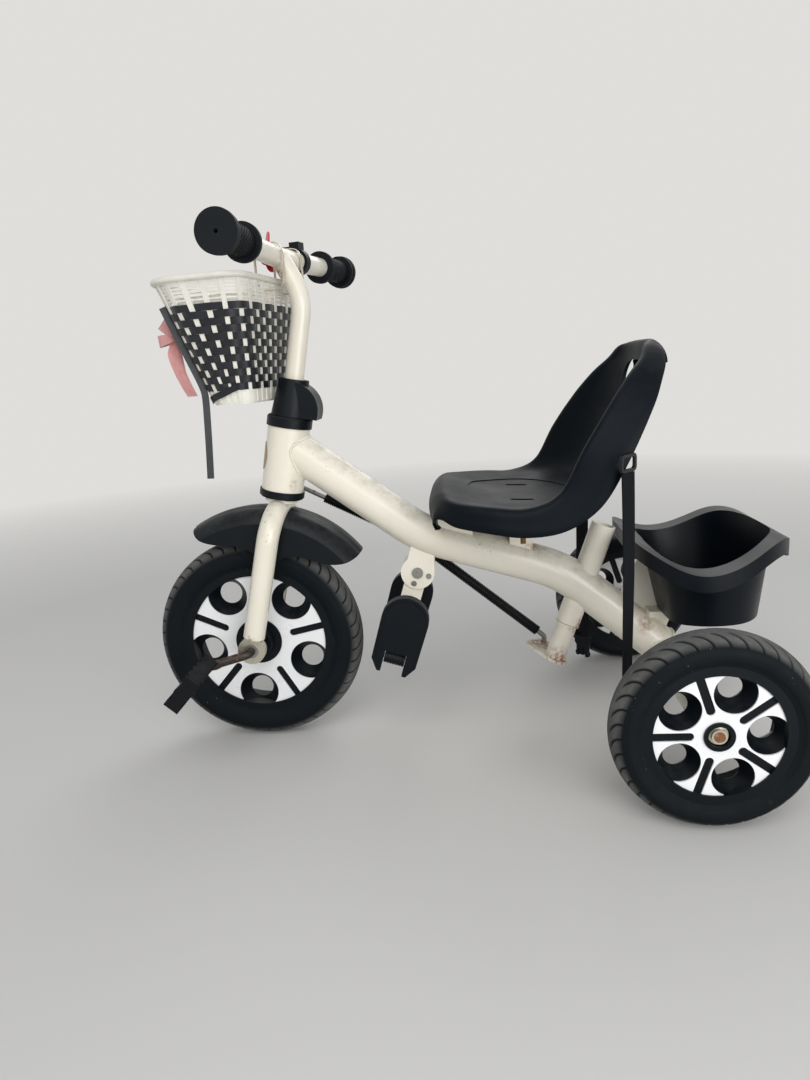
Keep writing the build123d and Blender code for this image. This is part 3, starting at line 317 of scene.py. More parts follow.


# The fourth number is the share of dust and painted sheen on what faces up.
seat_black = black_plastic("seat_black", (0.0034, 0.0056, 0.0086), 0.42, 0.1, shine=0.08)
bin_black = black_plastic("bin_black", (0.0026, 0.0046, 0.0076), 0.34, 0.2)
fender_black = black_plastic("fender_black", (0.0044, 0.0064, 0.0086), 0.42, 0.45)
cowl_black = black_plastic("cowl_black", (0.0034, 0.0054, 0.0080), 0.38, 0.3)
wheel_black = black_plastic("wheel_black", (0.0024, 0.0042, 0.0064), 0.4, 0.25)
pedal_black = black_plastic("pedal_black", (0.0042, 0.0052, 0.0064), 0.55, 0.45, 0.4, 900)
pad_black = black_plastic("pad_black", (0.0018, 0.0036, 0.0062), 0.46, 0.3, 0.35, 700)
grip_black = black_plastic("grip_black", (0.0042, 0.0060, 0.0084), 0.6, 0.35, 0.1, 900)
sleeve_black = black_plastic("sleeve_black", (0.0036, 0.0044, 0.0054), 0.45, 0.3)
print("plastics", [m.name for m in bpy.data.materials if m.name.endswith("black")])

# %% [markdown]
# ## Tyre rubber
# Rubber is duller than plastic, and dust stays on the tread. An attribute on the tyre's mesh marks the
# tread, so the finish reads that attribute and needs no picture.

# %% Tyre rubber


def tyre_rubber():
    """Dull rubber, dusty on the tread."""
    base = (0.0040, 0.0062, 0.0080)
    material, tree = new_finish("tyre_rubber", base, 0.7)
    tread = add(tree, "ShaderNodeAttribute", attribute_name="tread").outputs["Fac"]
    cloudy = cloud(tree, 34, 0.3, 0.75, 8, 0.7)
    dust = times(tree, tread, level(tree, cloudy, 0, 1, 0.35, 1))
    tint = blend(tree, dust, base, (0.185, 0.185, 0.175), 0.85)
    tint = blend(tree, cloud(tree, 22, 0.6, 0.78, 9, 0.75), tint, (0.09, 0.08, 0.06), 0.25)
    tint = blend(tree, specks(tree, 160.0, 0.05, 0.09, 18, 0.55, 0.62), tint, (0.3, 0.27, 0.2), 0.6)
    values = {"Base Color": tint, "Specular IOR Level": 0.12,
              "Roughness": level(tree, cloudy, 0, 1, 0.56, 0.8)}
    return dress(material, values, noise(tree, 900, 4), 0.0003, 0.3)


rubber = tyre_rubber()
print(rubber.name)

# %% [markdown]
# ## Metals and bright plastic
# The star covers are silver-sprayed plastic. The fork ends are plated, with the yellow cast of zinc.
# Bolts and the axle have rusted: a noise mask turns patches of the metal into brown, rough rust. The
# ties are clear plastic gone a little yellow, and the pinwheel is gloss red with a yellow boss.

# %% Metals and bright plastic
SILVER = (0.86, 0.865, 0.87)
PINWHEEL_RED = (0.62, 0.012, 0.02)
PINWHEEL_HUB = (32.0, 50.0, 578.0)


def bright_silver():
    """Silver-white sprayed plastic, a little scratched."""
    material, tree = new_finish("star_silver", SILVER, 0.3, 0.1)
    dirt = cloud(tree, 60, 0.55, 0.8, 9, 0.75)
    tint = blend(tree, dirt, SILVER, (0.45, 0.43, 0.38), 0.35)
    marks = cloud(tree, 40, 0.66, 0.69, 6, 0.8, stretch=(1, 1, 10))
    values = {"Base Color": blend(tree, marks, tint, (0.3, 0.3, 0.3), 0.3),
              "Roughness": level(tree, noise(tree, 30, 5), 0.3, 0.7, 0.24, 0.42)}
    return dress(material, values, noise(tree, 800, 2), 0.0002, 0.2)


def steel(name, colour, rough, rust_share):
    """Bare or plated steel with rust in patches."""
    material, tree = new_finish(name, colour, rough, 0.9)
    patch = cloud(tree, 180, 0.72 - 0.5 * rust_share, 0.82 - 0.45 * rust_share, 9, 0.7)
    brown = blend(tree, noise(tree, 420, 6), (0.09, 0.035, 0.016), (0.30, 0.115, 0.035))
    values = {"Base Color": blend(tree, patch, colour, brown),
              "Metallic": level(tree, patch, 0, 1, 0.9, 0.05),
              "Roughness": level(tree, patch, 0, 1, rough, 0.85)}
    return dress(material, values, noise(tree, 600, 6), 0.0004, 0.4)


def clear_tie():
    """Clear plastic gone a little yellow."""
    material, tree = new_finish("tie_clear", (0.70, 0.63, 0.49), 0.18)
    cloudy = cloud(tree, 80, 0.35, 0.7, 5)
    values = {"Base Color": blend(tree, cloudy, (0.76, 0.70, 0.57), (0.55, 0.47, 0.34)),
              "Transmission Weight": 0.3, "IOR": 1.45}
    return dress(material, values, noise(tree, 500, 2), 0.0002, 0.2)


def pinwheel_plastic():
    """Gloss red, with a yellow boss in the middle."""
    material, tree = new_finish("pinwheel_red", PINWHEEL_RED, 0.22)
    faded = cloud(tree, 60, 0.4, 0.75, 6)
    tint = blend(tree, faded, PINWHEEL_RED, (0.42, 0.02, 0.02))
    boss = near(tree, on_bar([PINWHEEL_HUB])[0], 0.0056, 0.0062)
    values = {"Base Color": blend(tree, boss, tint, (0.80, 0.50, 0.03))}
    return dress(material, values, noise(tree, 500, 2), 0.0002, 0.2)


star_silver = bright_silver()
zinc = steel("plated_zinc", (0.60, 0.575, 0.47), 0.33, 0.22)
rusty = steel("rusty_steel", (0.38, 0.34, 0.29), 0.5, 0.75)
grey_steel = steel("grey_steel", (0.33, 0.32, 0.30), 0.4, 0.3)
dark_wire = steel("dark_wire", (0.03, 0.03, 0.032), 0.35, 0.15)
crank_steel = steel("crank_steel", (0.055, 0.05, 0.047), 0.5, 0.42)
tie_clear = clear_tie()
pinwheel_red = pinwheel_plastic()
print("metals and bright plastic done")

# %% [markdown]
# ## Cloth and basket strips
# The belt is woven webbing: two crossed waves on its UV map give the threads. The bow is thin ribbon
# that lets light through. The basket's strips are flat plastic with fine lines along them.

# %% Cloth and basket strips
PINK = (0.74, 0.27, 0.255)


def threads(tree, place, count):
    """A wave that goes up and down for each thread across a UV direction."""
    return times(tree, times(tree, place, count * math.tau), 0.0, "SINE")


def webbing(name, colour, rows, columns, pale):
    """Woven webbing: threads from two crossed waves on the UV map."""
    material, tree = new_finish(name, colour, 0.85)
    uv = add(tree, "ShaderNodeSeparateXYZ", {"Vector": coords(tree, "UV")}).outputs
    weave = times(tree, threads(tree, uv["X"], rows), threads(tree, uv["Y"], columns))
    tint = blend(tree, level(tree, weave, -0.7, 0.9), colour, pale)
    fluff = cloud(tree, 300, 0.5, 0.8, 6)
    tint = blend(tree, fluff, tint, tuple(1.8 * c for c in pale), 0.3)
    values = {"Base Color": tint, "Specular IOR Level": 0.1}
    return dress(material, values, weave, 0.0006, 0.6)


def ribbon_cloth():
    """Thin pink ribbon: fine threads, and light comes through it."""
    material, tree = new_finish("ribbon_pink", PINK, 0.5)
    uv = add(tree, "ShaderNodeSeparateXYZ", {"Vector": coords(tree, "UV")}).outputs
    fine = threads(tree, uv["X"], 60)
    tint = blend(tree, level(tree, fine, -1, 1), PINK, (0.86, 0.52, 0.48))
    stain = cloud(tree, 60, 0.5, 0.75, 6)
    values = {"Base Color": blend(tree, stain, tint, (0.58, 0.10, 0.11), 0.5),
              "Sheen Weight": 0.4, "Transmission Weight": 0.25, "Alpha": 0.9}
    return dress(material, values, fine, 0.0002, 0.4)


def strip_plastic(name, colour, dirty, mark, rough):
    """A flat plastic strip with fine lines along it."""
    material, tree = new_finish(name, colour, rough)
    dust = cloud(tree, 70, 0.45, 0.8, 9, 0.7)
    fine = noise(tree, 420, 4, stretch=(1, 1, 7))
    values = {"Base Color": blend(tree, dust, colour, mark, dirty),
              "Roughness": level(tree, fine, 0.3, 0.7, rough - 0.08, rough + 0.12)}
    return dress(material, values, fine, 0.0004, 0.4)


strap_black = webbing("strap_webbing", (0.0045, 0.0055, 0.007), 9, 130, (0.013, 0.015, 0.018))
ribbon_pink = ribbon_cloth()
weave_black = strip_plastic("weave_black", (0.0045, 0.006, 0.010), 0.35, (0.03, 0.034, 0.045), 0.4)
weave_white = strip_plastic("weave_white", (0.84, 0.82, 0.74), 0.45, (0.62, 0.56, 0.43), 0.45)
plate_brown = strip_plastic("plate_brown", (0.30, 0.215, 0.125), 0.5, (0.44, 0.36, 0.24), 0.35)
print("cloth", strap_black.name, ribbon_pink.name)

# %% [markdown]
# ## Finishes on the solids that stay
# A solid whose shape is right keeps its mesh and only gets a finish. The list below pairs each finish
# with the solids that wear it. Faces that meet at a shallow angle are shaded smooth by the file already.

# %% Dress the solids
wearing = {
    frame_paint: ["main_tube", "head_tube", "push_socket_tube", "rear_axle_tube", "seat_risers",
                  "rest_bracket", "bin_bracket", "rest_arm"],
    fork_paint: ["steerer_tube", "fork_leg_left", "fork_leg_right", "steering_arm", "stem", "handlebar"],
    socket_paint: ["push_socket_core"],
    seat_black: ["seat"],
    bin_black: ["rear_bin"],
    fender_black: ["fender"],
    cowl_black: ["head_cups", "stem_cowl", "ornament_clamp"],
    wheel_black: ["front_wheel_body", "rear_wheel_body_left", "rear_wheel_body_right"],
    star_silver: ["front_star_covers", "rear_star_covers_left", "rear_star_covers_right"],
    pedal_black: ["pedal_left", "pedal_right"],
    pad_black: ["foot_pad_left", "foot_pad_right"],
    grip_black: ["grip_left", "grip_right"],
    crank_steel: ["crank"],
    zinc: ["fork_ends", "rear_washers", "rear_nuts"],
    rusty: ["rear_axle", "seat_bolts", "bin_screws", "fender_bolt", "stem_collar"],
    dark_wire: ["belt_rings"],
    grey_steel: ["link_rod", "pad_pins", "fork_bushes", "rest_pins"],
    pinwheel_red: ["pinwheel"],
}
for material, names in wearing.items():
    for name in names:
        solids[name].data.materials.clear()
        solids[name].data.materials.append(material)
print("dressed", sum(len(names) for names in wearing.values()), "solids")

# %% [markdown]
# ## Making meshes
# A few helpers make most of the new pieces. One joins rings of points with faces, which serves for
# anything long or turned. Another turns points and faces into an object with its finish and body.

# %% Mesh helpers


def unit(rows):
    """Rows of vectors, each made one long."""
    return rows / np.linalg.norm(rows, axis=1, keepdims=True)


def turns(count):
    """Angles evenly round a circle."""
    return np.linspace(0, math.tau, count, endpoint=False)


def skin(rows, sides, closed=False, start=0):
    """Faces that join rings of points, each to the next, with a cap on each end of an open row."""
    faces = []
    for k in range(rows if closed else rows - 1):
        a, b = start + sides * k, start + sides * ((k + 1) % rows)
        faces += [(a + j, a + (j + 1) % sides, b + (j + 1) % sides, b + j) for j in range(sides)]
    if not closed:
        faces += [tuple(range(at, at + sides)) for at in (start, start + sides * (rows - 1))]
    return faces


def new_piece(name, points, faces, material, body, slot, replaces=(), sharp=35.0, uv=None):
    """An object from points in metres, shaded smooth but for sharp edges, riding on its body."""
    mesh = bpy.data.meshes.new(name)
    mesh.from_pydata([tuple(p) for p in points], [], faces)
    if uv is not None:
        layer = mesh.uv_layers.new(name="UVMap")
        for loop in mesh.loops:
            layer.data[loop.index].uv = uv[loop.vertex_index]
    return place_piece(name, mesh, material, body, replaces, sharp)


def place_piece(name, mesh, material, body, replaces=(), sharp=35.0):
    """Finishes a mesh as a piece on a body, with its faces turned outward."""
    build = bmesh.new()
    build.from_mesh(mesh)
    bmesh.ops.recalc_face_normals(build, faces=build.faces)
    build.to_mesh(mesh)
    build.free()
    mesh.polygons.foreach_set("use_smooth", [True] * len(mesh.polygons))
    mesh.set_sharp_from_angle(angle=math.radians(sharp))
    if material is not None:
        mesh.materials.clear()
        mesh.materials.append(material)
    piece = bpy.data.objects.new(name, mesh)
    scene.collection.objects.link(piece)
    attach(piece, body)
    if replaces:
        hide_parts(*replaces)
    print(name, len(mesh.polygons), "faces")
    return piece


print("mesh helpers ready")

# %% [markdown]
# A strap, a ribbon and a strip of weave are each a flat strip along a line. Some of the lines are NURBS
# splines: a few control points give a smooth run, and Blender works out the points along it.

# %% Lines and strips


def way_along(line):
    """How far along a line each of its points is."""
    return np.concatenate([[0], np.cumsum(np.linalg.norm(np.diff(line, axis=0), axis=1))])


def as_mesh(holder):
    """What an object looks like with its modifiers, as a plain mesh. The object itself goes."""
    scene.collection.objects.link(holder)
    bpy.context.view_layer.update()
    mesh = bpy.data.meshes.new_from_object(holder.evaluated_get(bpy.context.evaluated_depsgraph_get()))
    bpy.data.objects.remove(holder)
    return mesh


def strip_parts(line, across, thick, closed=False, start=0):
    """Points, faces and UVs of a flat strip: a line, its half width at each point, and a thickness."""
    line, across = np.asarray(line, float), np.asarray(across, float)
    if closed:
        along = np.roll(line, -1, 0) - np.roll(line, 1, 0)
    else:
        along = np.gradient(line, axis=0)
    face_out = unit(np.cross(along, across)) * thick / 2
    rings = np.stack([line - across - face_out, line + across - face_out, line + across + face_out,
                      line - across + face_out], axis=1)
    way = way_along(line)
    uv = [(side, s / max(way[-1], 1e-9)) for s in way for side in (0.0, 1.0, 1.0, 0.0)]
    return list(rings.reshape(-1, 3)), skin(len(line), 4, closed, start), uv


def gather(parts):
    """Several strips as one set of points, faces and UVs."""
    points, faces, uv = [], [], []
    for line, across, thick, closed in parts:
        more = strip_parts(line, across, thick, closed, len(points))
        points += more[0]
        faces += more[1]
        uv += more[2]
    return points, faces, uv


def route_curve(name, points, closed=False, steps=16):
    """A NURBS curve with these control points in metres, as curve data."""
    curve = bpy.data.curves.new(name, "CURVE")
    curve.dimensions = "3D"
    curve.resolution_u = steps
    spline = curve.splines.new("NURBS")
    spline.points.add(len(points) - 1)
    for point, p in zip(spline.points, points):
        point.co = (*p, 1)
    spline.order_u = 3
    spline.use_cyclic_u = closed
    spline.use_endpoint_u = not closed
    return curve


def smooth_line(points):
    """Points along a NURBS spline with these control points in metres."""
    mesh = as_mesh(bpy.data.objects.new("route", route_curve("route", points, steps=12)))
    return np.array([v.co for v in mesh.vertices])


print("line helpers ready")

# %% [markdown]
# ## Straps of the seat belt
# A black webbing strap hangs on each side of the seat from a wire ring. Webbing is flat, so its mesh is a
# strip that follows a NURBS spline, a little turned about its own length. Its length is printed.

# %% Belt straps
STRAP_W, STRAP_THICK, STRAP_TWIST = 0.020, 0.0015, 50.0
STRAP_ROUTE = [(410, 150, 328), (410.5, 150.4, 300), (411, 150.6, 250), (410.5, 150.6, 190),
               (409.5, 150.4, 130), (410, 150, 80), (410, 150, 57)]
TONGUE_AT, TONGUE_THICK = (410, 150, 55.4), 5.6
TONGUE_HALF = [(12.6, 0), (12.6, -11), (9.5, -14), (9.5, -22), (11.5, -25), (10, -29.6), (6, -29.6),
               (5, -20), (2.4, -17), (2.4, -28)]


def strap(side, sign):
    """One strap with its route."""
    line = smooth_line(metres([(x, sign * y, z) for x, y, z in STRAP_ROUTE]))
    turn = np.radians(np.linspace(STRAP_TWIST - 4, STRAP_TWIST + 8, len(line)))
    across = np.stack([np.cos(turn), -sign * np.sin(turn), 0 * turn], axis=1) * STRAP_W / 2
    points, faces, uv = strip_parts(line, across, STRAP_THICK)
    piece = new_piece(f"belt_webbing_{side}", points, faces, strap_black, "frame", "strap",
                      [f"belt_strap_{side}"], uv=uv)
    return piece, line


def tongue(side, sign):
    """A moulded buckle tongue with a pinched waist and prongs, drawn as one half and its mirror."""
    outline = TONGUE_HALF + [(-u, z) for u, z in reversed(TONGUE_HALF)]
    angle = math.radians(STRAP_TWIST)
    points = []
    for depth in (-TONGUE_THICK / 2, TONGUE_THICK / 2):
        for u, z in outline:
            x = TONGUE_AT[0] + u * math.cos(angle) + depth * math.sin(angle)
            y = sign * (TONGUE_AT[1] - u * math.sin(angle) + depth * math.cos(angle))
            points.append((x, y, TONGUE_AT[2] + z))
    return new_piece(f"buckle_tongue_{side}", metres(points), skin(2, len(outline)), pad_black, "frame",
                     "foot_rest", ["belt_tongues"], 20)


for side, sign in SIDES:
    webbing_piece, line = strap(side, sign)
    end = tongue(side, sign)
    print("strap", side, round(way_along(line)[-1], 4), "m")

# %% [markdown]
# ## The loose strip of the basket
# One black strip of the basket's weave has come loose at the front corner. It stands on edge down the
# corner and then hangs free. It is one flat cord: the spline gives its line, and the strip's width points
# away from the basket, square to that line.

# %% Loose strip
STRIP_OUT = np.array([-0.857, -0.515, 0.0])
STRIP_ROUTE = np.array([(-45.7, -64.0, 515.0), (-38.0, -60.6, 492.0), (-27.0, -55.6, 460.0),
                        (-17.0, -51.3, 431.0), (-14.8, -50.2, 420.0), (-16.5, -50.2, 390.0),
                        (-18.5, -50.2, 358.0), (-21.0, -50.2, 327.5)])
STRIP_W, STRIP_THICK, STRIP_STAND = 0.0076, 0.0009, 3.2
strip_line = smooth_line(on_bar(STRIP_ROUTE + STRIP_STAND * STRIP_OUT))
strip_along = unit(np.gradient(strip_line, axis=0))
strip_way = way_on_bar(STRIP_OUT)
strip_across = unit(strip_way - strip_along * (strip_along @ strip_way)[:, None]) * STRIP_W / 2
strip_points, strip_faces, strip_uv = strip_parts(strip_line, strip_across, STRIP_THICK)
loose_strip = new_piece("loose_strip", strip_points, strip_faces, weave_black, "bars", "strap",
                        ["basket_strip"], uv=strip_uv)
print("loose strip", round(way_along(strip_line)[-1], 4), "m")

# %% [markdown]
# ## Tyres
# A tyre is a profile spun round the axle. Its tread has crescent grooves that start at the shoulder and
# bend along the crown. The first cell works out the profile, and how deep a groove is at any place.

# %% Tyre profile and grooves
GROOVE_HALF, GROOVE_EDGE, GROOVE_DEEP = 1.35, 0.6, 1.5
GROOVE_FROM, GROOVE_RUN, GROOVE_BEND = 0.93, 0.70, 15.0
GROOVE_INNER, GROOVE_OUTER, GROOVE_FADE, GROOVE_LOW = 0.21, 0.9, 0.05, 0.885
SIDE_LINE_AT, SIDE_LINE_HALF, SIDE_LINE_DEEP = 0.868, 0.9, 0.5
MIDDLE_LINE_HALF, MIDDLE_LINE_DEEP, LINE_EDGE = 1.1, 0.8, 0.5
TREAD_FROM, TREAD_FADE = 0.90, 0.05
BEAD_HALF, PROFILE_POINTS = 18.5, 84


def ramp(past, wide):
    """From 0 to 1 over a width."""
    return np.clip(past / wide, 0, 1)


def round_off(points, times_cut):
    """Cuts the corners of an open line, a quarter from each end of each run."""
    for _ in range(times_cut):
        near_end = points[:-1] * 0.75 + points[1:] * 0.25
        far_end = points[:-1] * 0.25 + points[1:] * 0.75
        cut = np.stack([near_end, far_end], 1).reshape(-1, 2)
        points = np.concatenate([points[:1], cut, points[-1:]])
    return points


def tyre_section(half, seat_r, bead):
    """The outside of the profile as (radius, y) points, and the closed ring that goes on under it."""
    lower = np.array([(seat_r, bead), (seat_r + 2.2, bead + 0.9), (half[0][0] - 1.2, half[0][1] - 1.2)])
    upper = np.concatenate([lower, np.array(half, float)])
    whole = round_off(np.concatenate([upper, upper[-2::-1] * [1, -1]]), 2)
    way = way_along(whole)
    even = np.linspace(0, way[-1], PROFILE_POINTS)
    whole = np.stack([np.interp(even, way, whole[:, 0]), np.interp(even, way, whole[:, 1])], 1)
    inner = np.array([(seat_r, y) for y in np.linspace(-bead, bead, 6)[1:-1]])
    return whole, np.concatenate([whole, inner])


def groove_depth(radius, side, angle, outer, half_y, count):
    """How deep the crescent grooves are at each point, from 0 to 1."""
    v = np.abs(side) / half_y
    start = (np.sign(side) > 0) * math.pi / count
    run = ramp(GROOVE_FROM - v, GROOVE_RUN)
    bend = GROOVE_BEND / outer
    slope = 2 * bend * run / GROOVE_RUN / half_y * outer
    pitch = math.tau / count
    off = (angle - start - bend * run ** 2 + pitch / 2) % pitch - pitch / 2
    away = np.abs(off) * outer / np.sqrt(1 + slope ** 2)
    cut = ramp(GROOVE_HALF - away, GROOVE_EDGE)
    inside = ramp(v - GROOVE_INNER, GROOVE_FADE) * ramp(GROOVE_OUTER - v, GROOVE_FADE)
    return cut * inside * (radius > GROOVE_LOW * outer)


print("groove", GROOVE_DEEP, "mm deep")

# %% [markdown]
# The tread is cut while the points are made: each point of the spun profile is pushed in, square to the
# profile, by the depth of the groove there. Carving a plain tyre with cutters would give long, thin
# faces instead. An attribute called tread remembers the crown, where the rubber holds dust.

# %% Tyres


def tyre(name, node, body, centre, half, seat_r, count, around):
    """One tyre with its tread."""
    outer = half[-1][0]
    half_y = max(p[1] for p in half)
    outside, ring = tyre_section(half, seat_r, BEAD_HALF)
    along = np.gradient(outside, axis=0)
    inward = unit(np.stack([-along[:, 1], along[:, 0]], 1))
    outward = inward[:, :1] * (outside[:, :1] - 0.9 * outer) + inward[:, 1:] * outside[:, 1:] > 0
    inward *= np.where(outward, -1, 1)
    inward = np.concatenate([inward, np.zeros((len(ring) - len(outside), 2))])
    angle = turns(around)[:, None]
    radius, side = ring[:, 0], ring[:, 1]
    depth = groove_depth(radius[None], side[None], angle, outer, half_y, count)
    depth[:, len(outside):] = 0
    middle = ramp(MIDDLE_LINE_HALF - np.abs(side), LINE_EDGE) * (radius > outer - 3)
    lines = ramp(SIDE_LINE_HALF - np.abs(radius - outer * SIDE_LINE_AT), LINE_EDGE)
    lines = lines * (np.abs(side) > 0.8 * half_y)
    push = GROOVE_DEEP * depth + SIDE_LINE_DEEP * lines[None] + MIDDLE_LINE_DEEP * middle[None]
    r = radius[None] + push * inward[None, :, 0]
    y = side[None] + push * inward[None, :, 1]
    points = np.stack([r * np.cos(angle), y + 0 * angle, r * np.sin(angle)], -1) + np.array(centre)
    piece = new_piece(name, metres(points.reshape(-1, 3)), skin(around, len(ring), True), rubber, body,
                      "tyre", [node], 60)
    crown = ramp(radius - TREAD_FROM * outer, TREAD_FADE * outer)[None] * (1 - depth)
    piece.data.attributes.new("tread", "FLOAT", "POINT").data.foreach_set("value", crown.reshape(-1))


FRONT_HALF = [(96, 22), (101, 23.6), (106, 24.2), (111, 23.3), (116, 20.6), (120, 16.4), (123, 10.5),
              (124.6, 4.5), (125, 0)]
REAR_HALF = [(74, 22), (78, 22.8), (81.5, 22.8), (85, 21.5), (89, 18), (92.5, 13), (95, 7), (96, 0)]
tyre("front_tyre_rubber", "front_tyre", "front_wheel", FRONT_AXLE, FRONT_HALF,
     seat_r=90, count=48, around=900)
for side, sign in SIDES:
    middle = REAR_AXLE + [0, sign * TRACK_HALF, 0]
    tyre(f"rear_tyre_rubber_{side}", f"rear_tyre_{side}", f"rear_wheel_{side}", middle, REAR_HALF,
         seat_r=68, count=38, around=720)

# %% [markdown]
# ## The woven basket
# The basket is woven like a real one. White stakes stand round an outline that widens upwards, and black
# strips pass in front of one stake and behind the next. The outline is worked out at each height from
# straight runs and corner arcs, and a number from 0 to 1 says how far round a point is.

# %% Basket outline
STAKES, ROWS = 28, 12
BASKET_LOW, BASKET_HIGH = 409.0, 543.0


def basket_runs(t):
    """The outline's straight runs and arcs at a height from 0, the floor, to 1, the rim."""
    back, front, half = 41 + 13 * t, -13 - 49 * t, 60 + 31 * t
    r_back, r_front = 16 + 8 * t, 25 + 22 * t
    return [
        ("run", (back, 0), (back, half - r_back)),
        ("arc", (back - r_back, half - r_back), r_back, 0),
        ("run", (back - r_back, half), (front + r_front, half)),
        ("arc", (front + r_front, half - r_front), r_front, 90),
        ("run", (front, half - r_front), (front, r_front - half)),
        ("arc", (front + r_front, r_front - half), r_front, 180),
        ("run", (front + r_front, -half), (back - r_back, -half)),
        ("arc", (back - r_back, r_back - half), r_back, 270),
        ("run", (back, r_back - half), (back, 0)),
    ]


def run_length(run):
    """How long a straight run or a quarter arc is."""
    return math.dist(run[1], run[2]) if run[0] == "run" else run[2] * math.pi / 2


SHARES = np.array([run_length(run) for run in basket_runs(0.5)])
BASKET_ROUND = SHARES.sum()
SHARES = np.concatenate([[0], np.cumsum(SHARES) / BASKET_ROUND])


def basket_point(u, z, offset=0.0):
    """A point of the basket's wall: how far round, how high, and how far out."""
    t = (z - BASKET_LOW) / (BASKET_HIGH - BASKET_LOW)
    u = u % 1.0
    k = min(int(np.searchsorted(SHARES, u, "right")) - 1, 8)
    part = (u - SHARES[k]) / (SHARES[k + 1] - SHARES[k])
    run = basket_runs(t)[k]
    if run[0] == "run":
        (x0, y0), (x1, y1) = run[1], run[2]
        long = math.dist(run[1], run[2])
        out = ((y1 - y0) / long, (x0 - x1) / long)
        x, y = x0 + (x1 - x0) * part, y0 + (y1 - y0) * part
    else:
        turn = math.radians(run[3] + 90 * part)
        out = (math.cos(turn), math.sin(turn))
        x, y = run[1][0] + run[2] * out[0], run[1][1] + run[2] * out[1]
    return x + out[0] * offset, y + out[1] * offset, z


print("basket round", round(BASKET_ROUND, 1), "mm")

# %% [markdown]
# A strip of the weave needs a low edge and a high edge, so each is drawn as two rows of wall points. Its
# offset swings out and in once for each pair of stakes. One strip has slipped down at the front.

# %% Basket weave
STAKE_HALF, WALL_IN, WEAVE_SWING = 2.4, -0.6, 1.35
WEAVE_LOW, WEAVE_HIGH = 424.0, 514.0
STAKE_LOW, STAKE_HIGH, WALL_STEPS = 411, 540, 168
FOOT_BAND = (416.5, 15)
RIM_WIRES = ((518, 1.6), (522.5, 2.6), (526, 2.6), (529.5, 2.6), (533, 2.6), (536.4, 2.6))
SLIPPED = np.linspace(0.635, 0.80, 26)
SLIP_LOW, SLIP_RISE, SLIP_HALF, SLIP_OUT = 413, 14, 3.4, 1.3
BAND_IN, WIRE_IN = -1.6, -1.4
STAKE_THICK, BAND_THICK, WIRE_THICK, WEAVE_THICK = 0.0011, 0.0012, 0.0010, 0.0007


def between(low, high, thick, closed):
    """A strip from its two edges, as a line with its half width."""
    return (low + high) / 2, (high - low) / 2, thick, closed


def wall_strip(z, height, steps, offset, thick):
    """A level strip round the basket, with an offset for each place."""
    places = [k / steps for k in range(steps)]
    low = on_bar([basket_point(u, z - height / 2, offset(u)) for u in places])
    high = on_bar([basket_point(u, z + height / 2, offset(u)) for u in places])
    return between(low, high, thick, True)


def stake(k):
    """One upright stake from the floor band to the rim."""
    heights = np.linspace(STAKE_LOW, STAKE_HIGH, 16)
    half = STAKE_HALF / BASKET_ROUND
    u = (k + 0.5) / STAKES
    first_edge = on_bar([basket_point(u - half, z, WALL_IN) for z in heights])
    last_edge = on_bar([basket_point(u + half, z, WALL_IN) for z in heights])
    return between(first_edge, last_edge, STAKE_THICK, False)


def weave_offset(row):
    """How far out a row of the weave is at each place."""
    return lambda u: WALL_IN + WEAVE_SWING * math.cos(math.pi * (u * STAKES - 0.5 + row))


white_parts = [stake(k) for k in range(STAKES)]
white_parts.append(wall_strip(*FOOT_BAND, WALL_STEPS, lambda u: BAND_IN, BAND_THICK))
white_parts += [wall_strip(*wire, WALL_STEPS, lambda u: WIRE_IN, WIRE_THICK) for wire in RIM_WIRES]
row_pitch = (WEAVE_HIGH - WEAVE_LOW) / ROWS
black_parts = []
for row in range(ROWS):
    z = WEAVE_LOW + row_pitch * (row + 0.5)
    black_parts.append(wall_strip(z, row_pitch - 0.1, STAKES * 8, weave_offset(row), WEAVE_THICK))
slip_z = SLIP_LOW + SLIP_RISE * (SLIPPED - SLIPPED[0]) / (SLIPPED[-1] - SLIPPED[0])
slip_edges = [on_bar([basket_point(u, z + edge, SLIP_OUT) for u, z in zip(SLIPPED, slip_z)])
              for edge in (-SLIP_HALF, SLIP_HALF)]
black_parts.append(between(*slip_edges, WEAVE_THICK, False))
for name, parts, material in (("basket_weave", black_parts, weave_black),
                              ("basket_stakes", white_parts, weave_white)):
    new_piece(name, *gather(parts)[:2], material, "bars", "basket", ["basket"])

# %% [markdown]
# The rim is a rolled tube round the top, and the floor is a plate. A tube is a ring of small circles,
# each square to the line that it follows.

# %% Basket rim and floor
RIM_Z, RIM_R, RIM_OUT = 539.6, 0.0033, 0.2
NEARLY_UP = (0.02, 0.03, 1.0)
FLOOR_Z, FLOOR_IN, FLOOR_STEPS = (409.3, 411.0), -1.0, 96


def ring_tube(line, radius, sides):
    """Points and faces of a tube along a closed line in metres."""
    along = unit(np.roll(line, -1, 0) - np.roll(line, 1, 0))
    first = unit(np.cross(along, NEARLY_UP))
    second = np.cross(along, first)
    turn = turns(sides)
    circle = np.cos(turn)[None, :, None] * first[:, None] + np.sin(turn)[None, :, None] * second[:, None]
    return (line[:, None] + radius * circle).reshape(-1, 3), skin(len(line), sides, True)


rim_line = on_bar([basket_point(k / WALL_STEPS, RIM_Z, RIM_OUT) for k in range(WALL_STEPS)])
new_piece("basket_rim", *ring_tube(rim_line, RIM_R, 12), weave_white, "bars", "basket", ["basket"])
floor_points = on_bar([basket_point(k / FLOOR_STEPS, z, FLOOR_IN)
                       for z in FLOOR_Z for k in range(FLOOR_STEPS)])
new_piece("basket_floor", floor_points, skin(2, FLOOR_STEPS), weave_white, "bars", "basket", ["basket"])
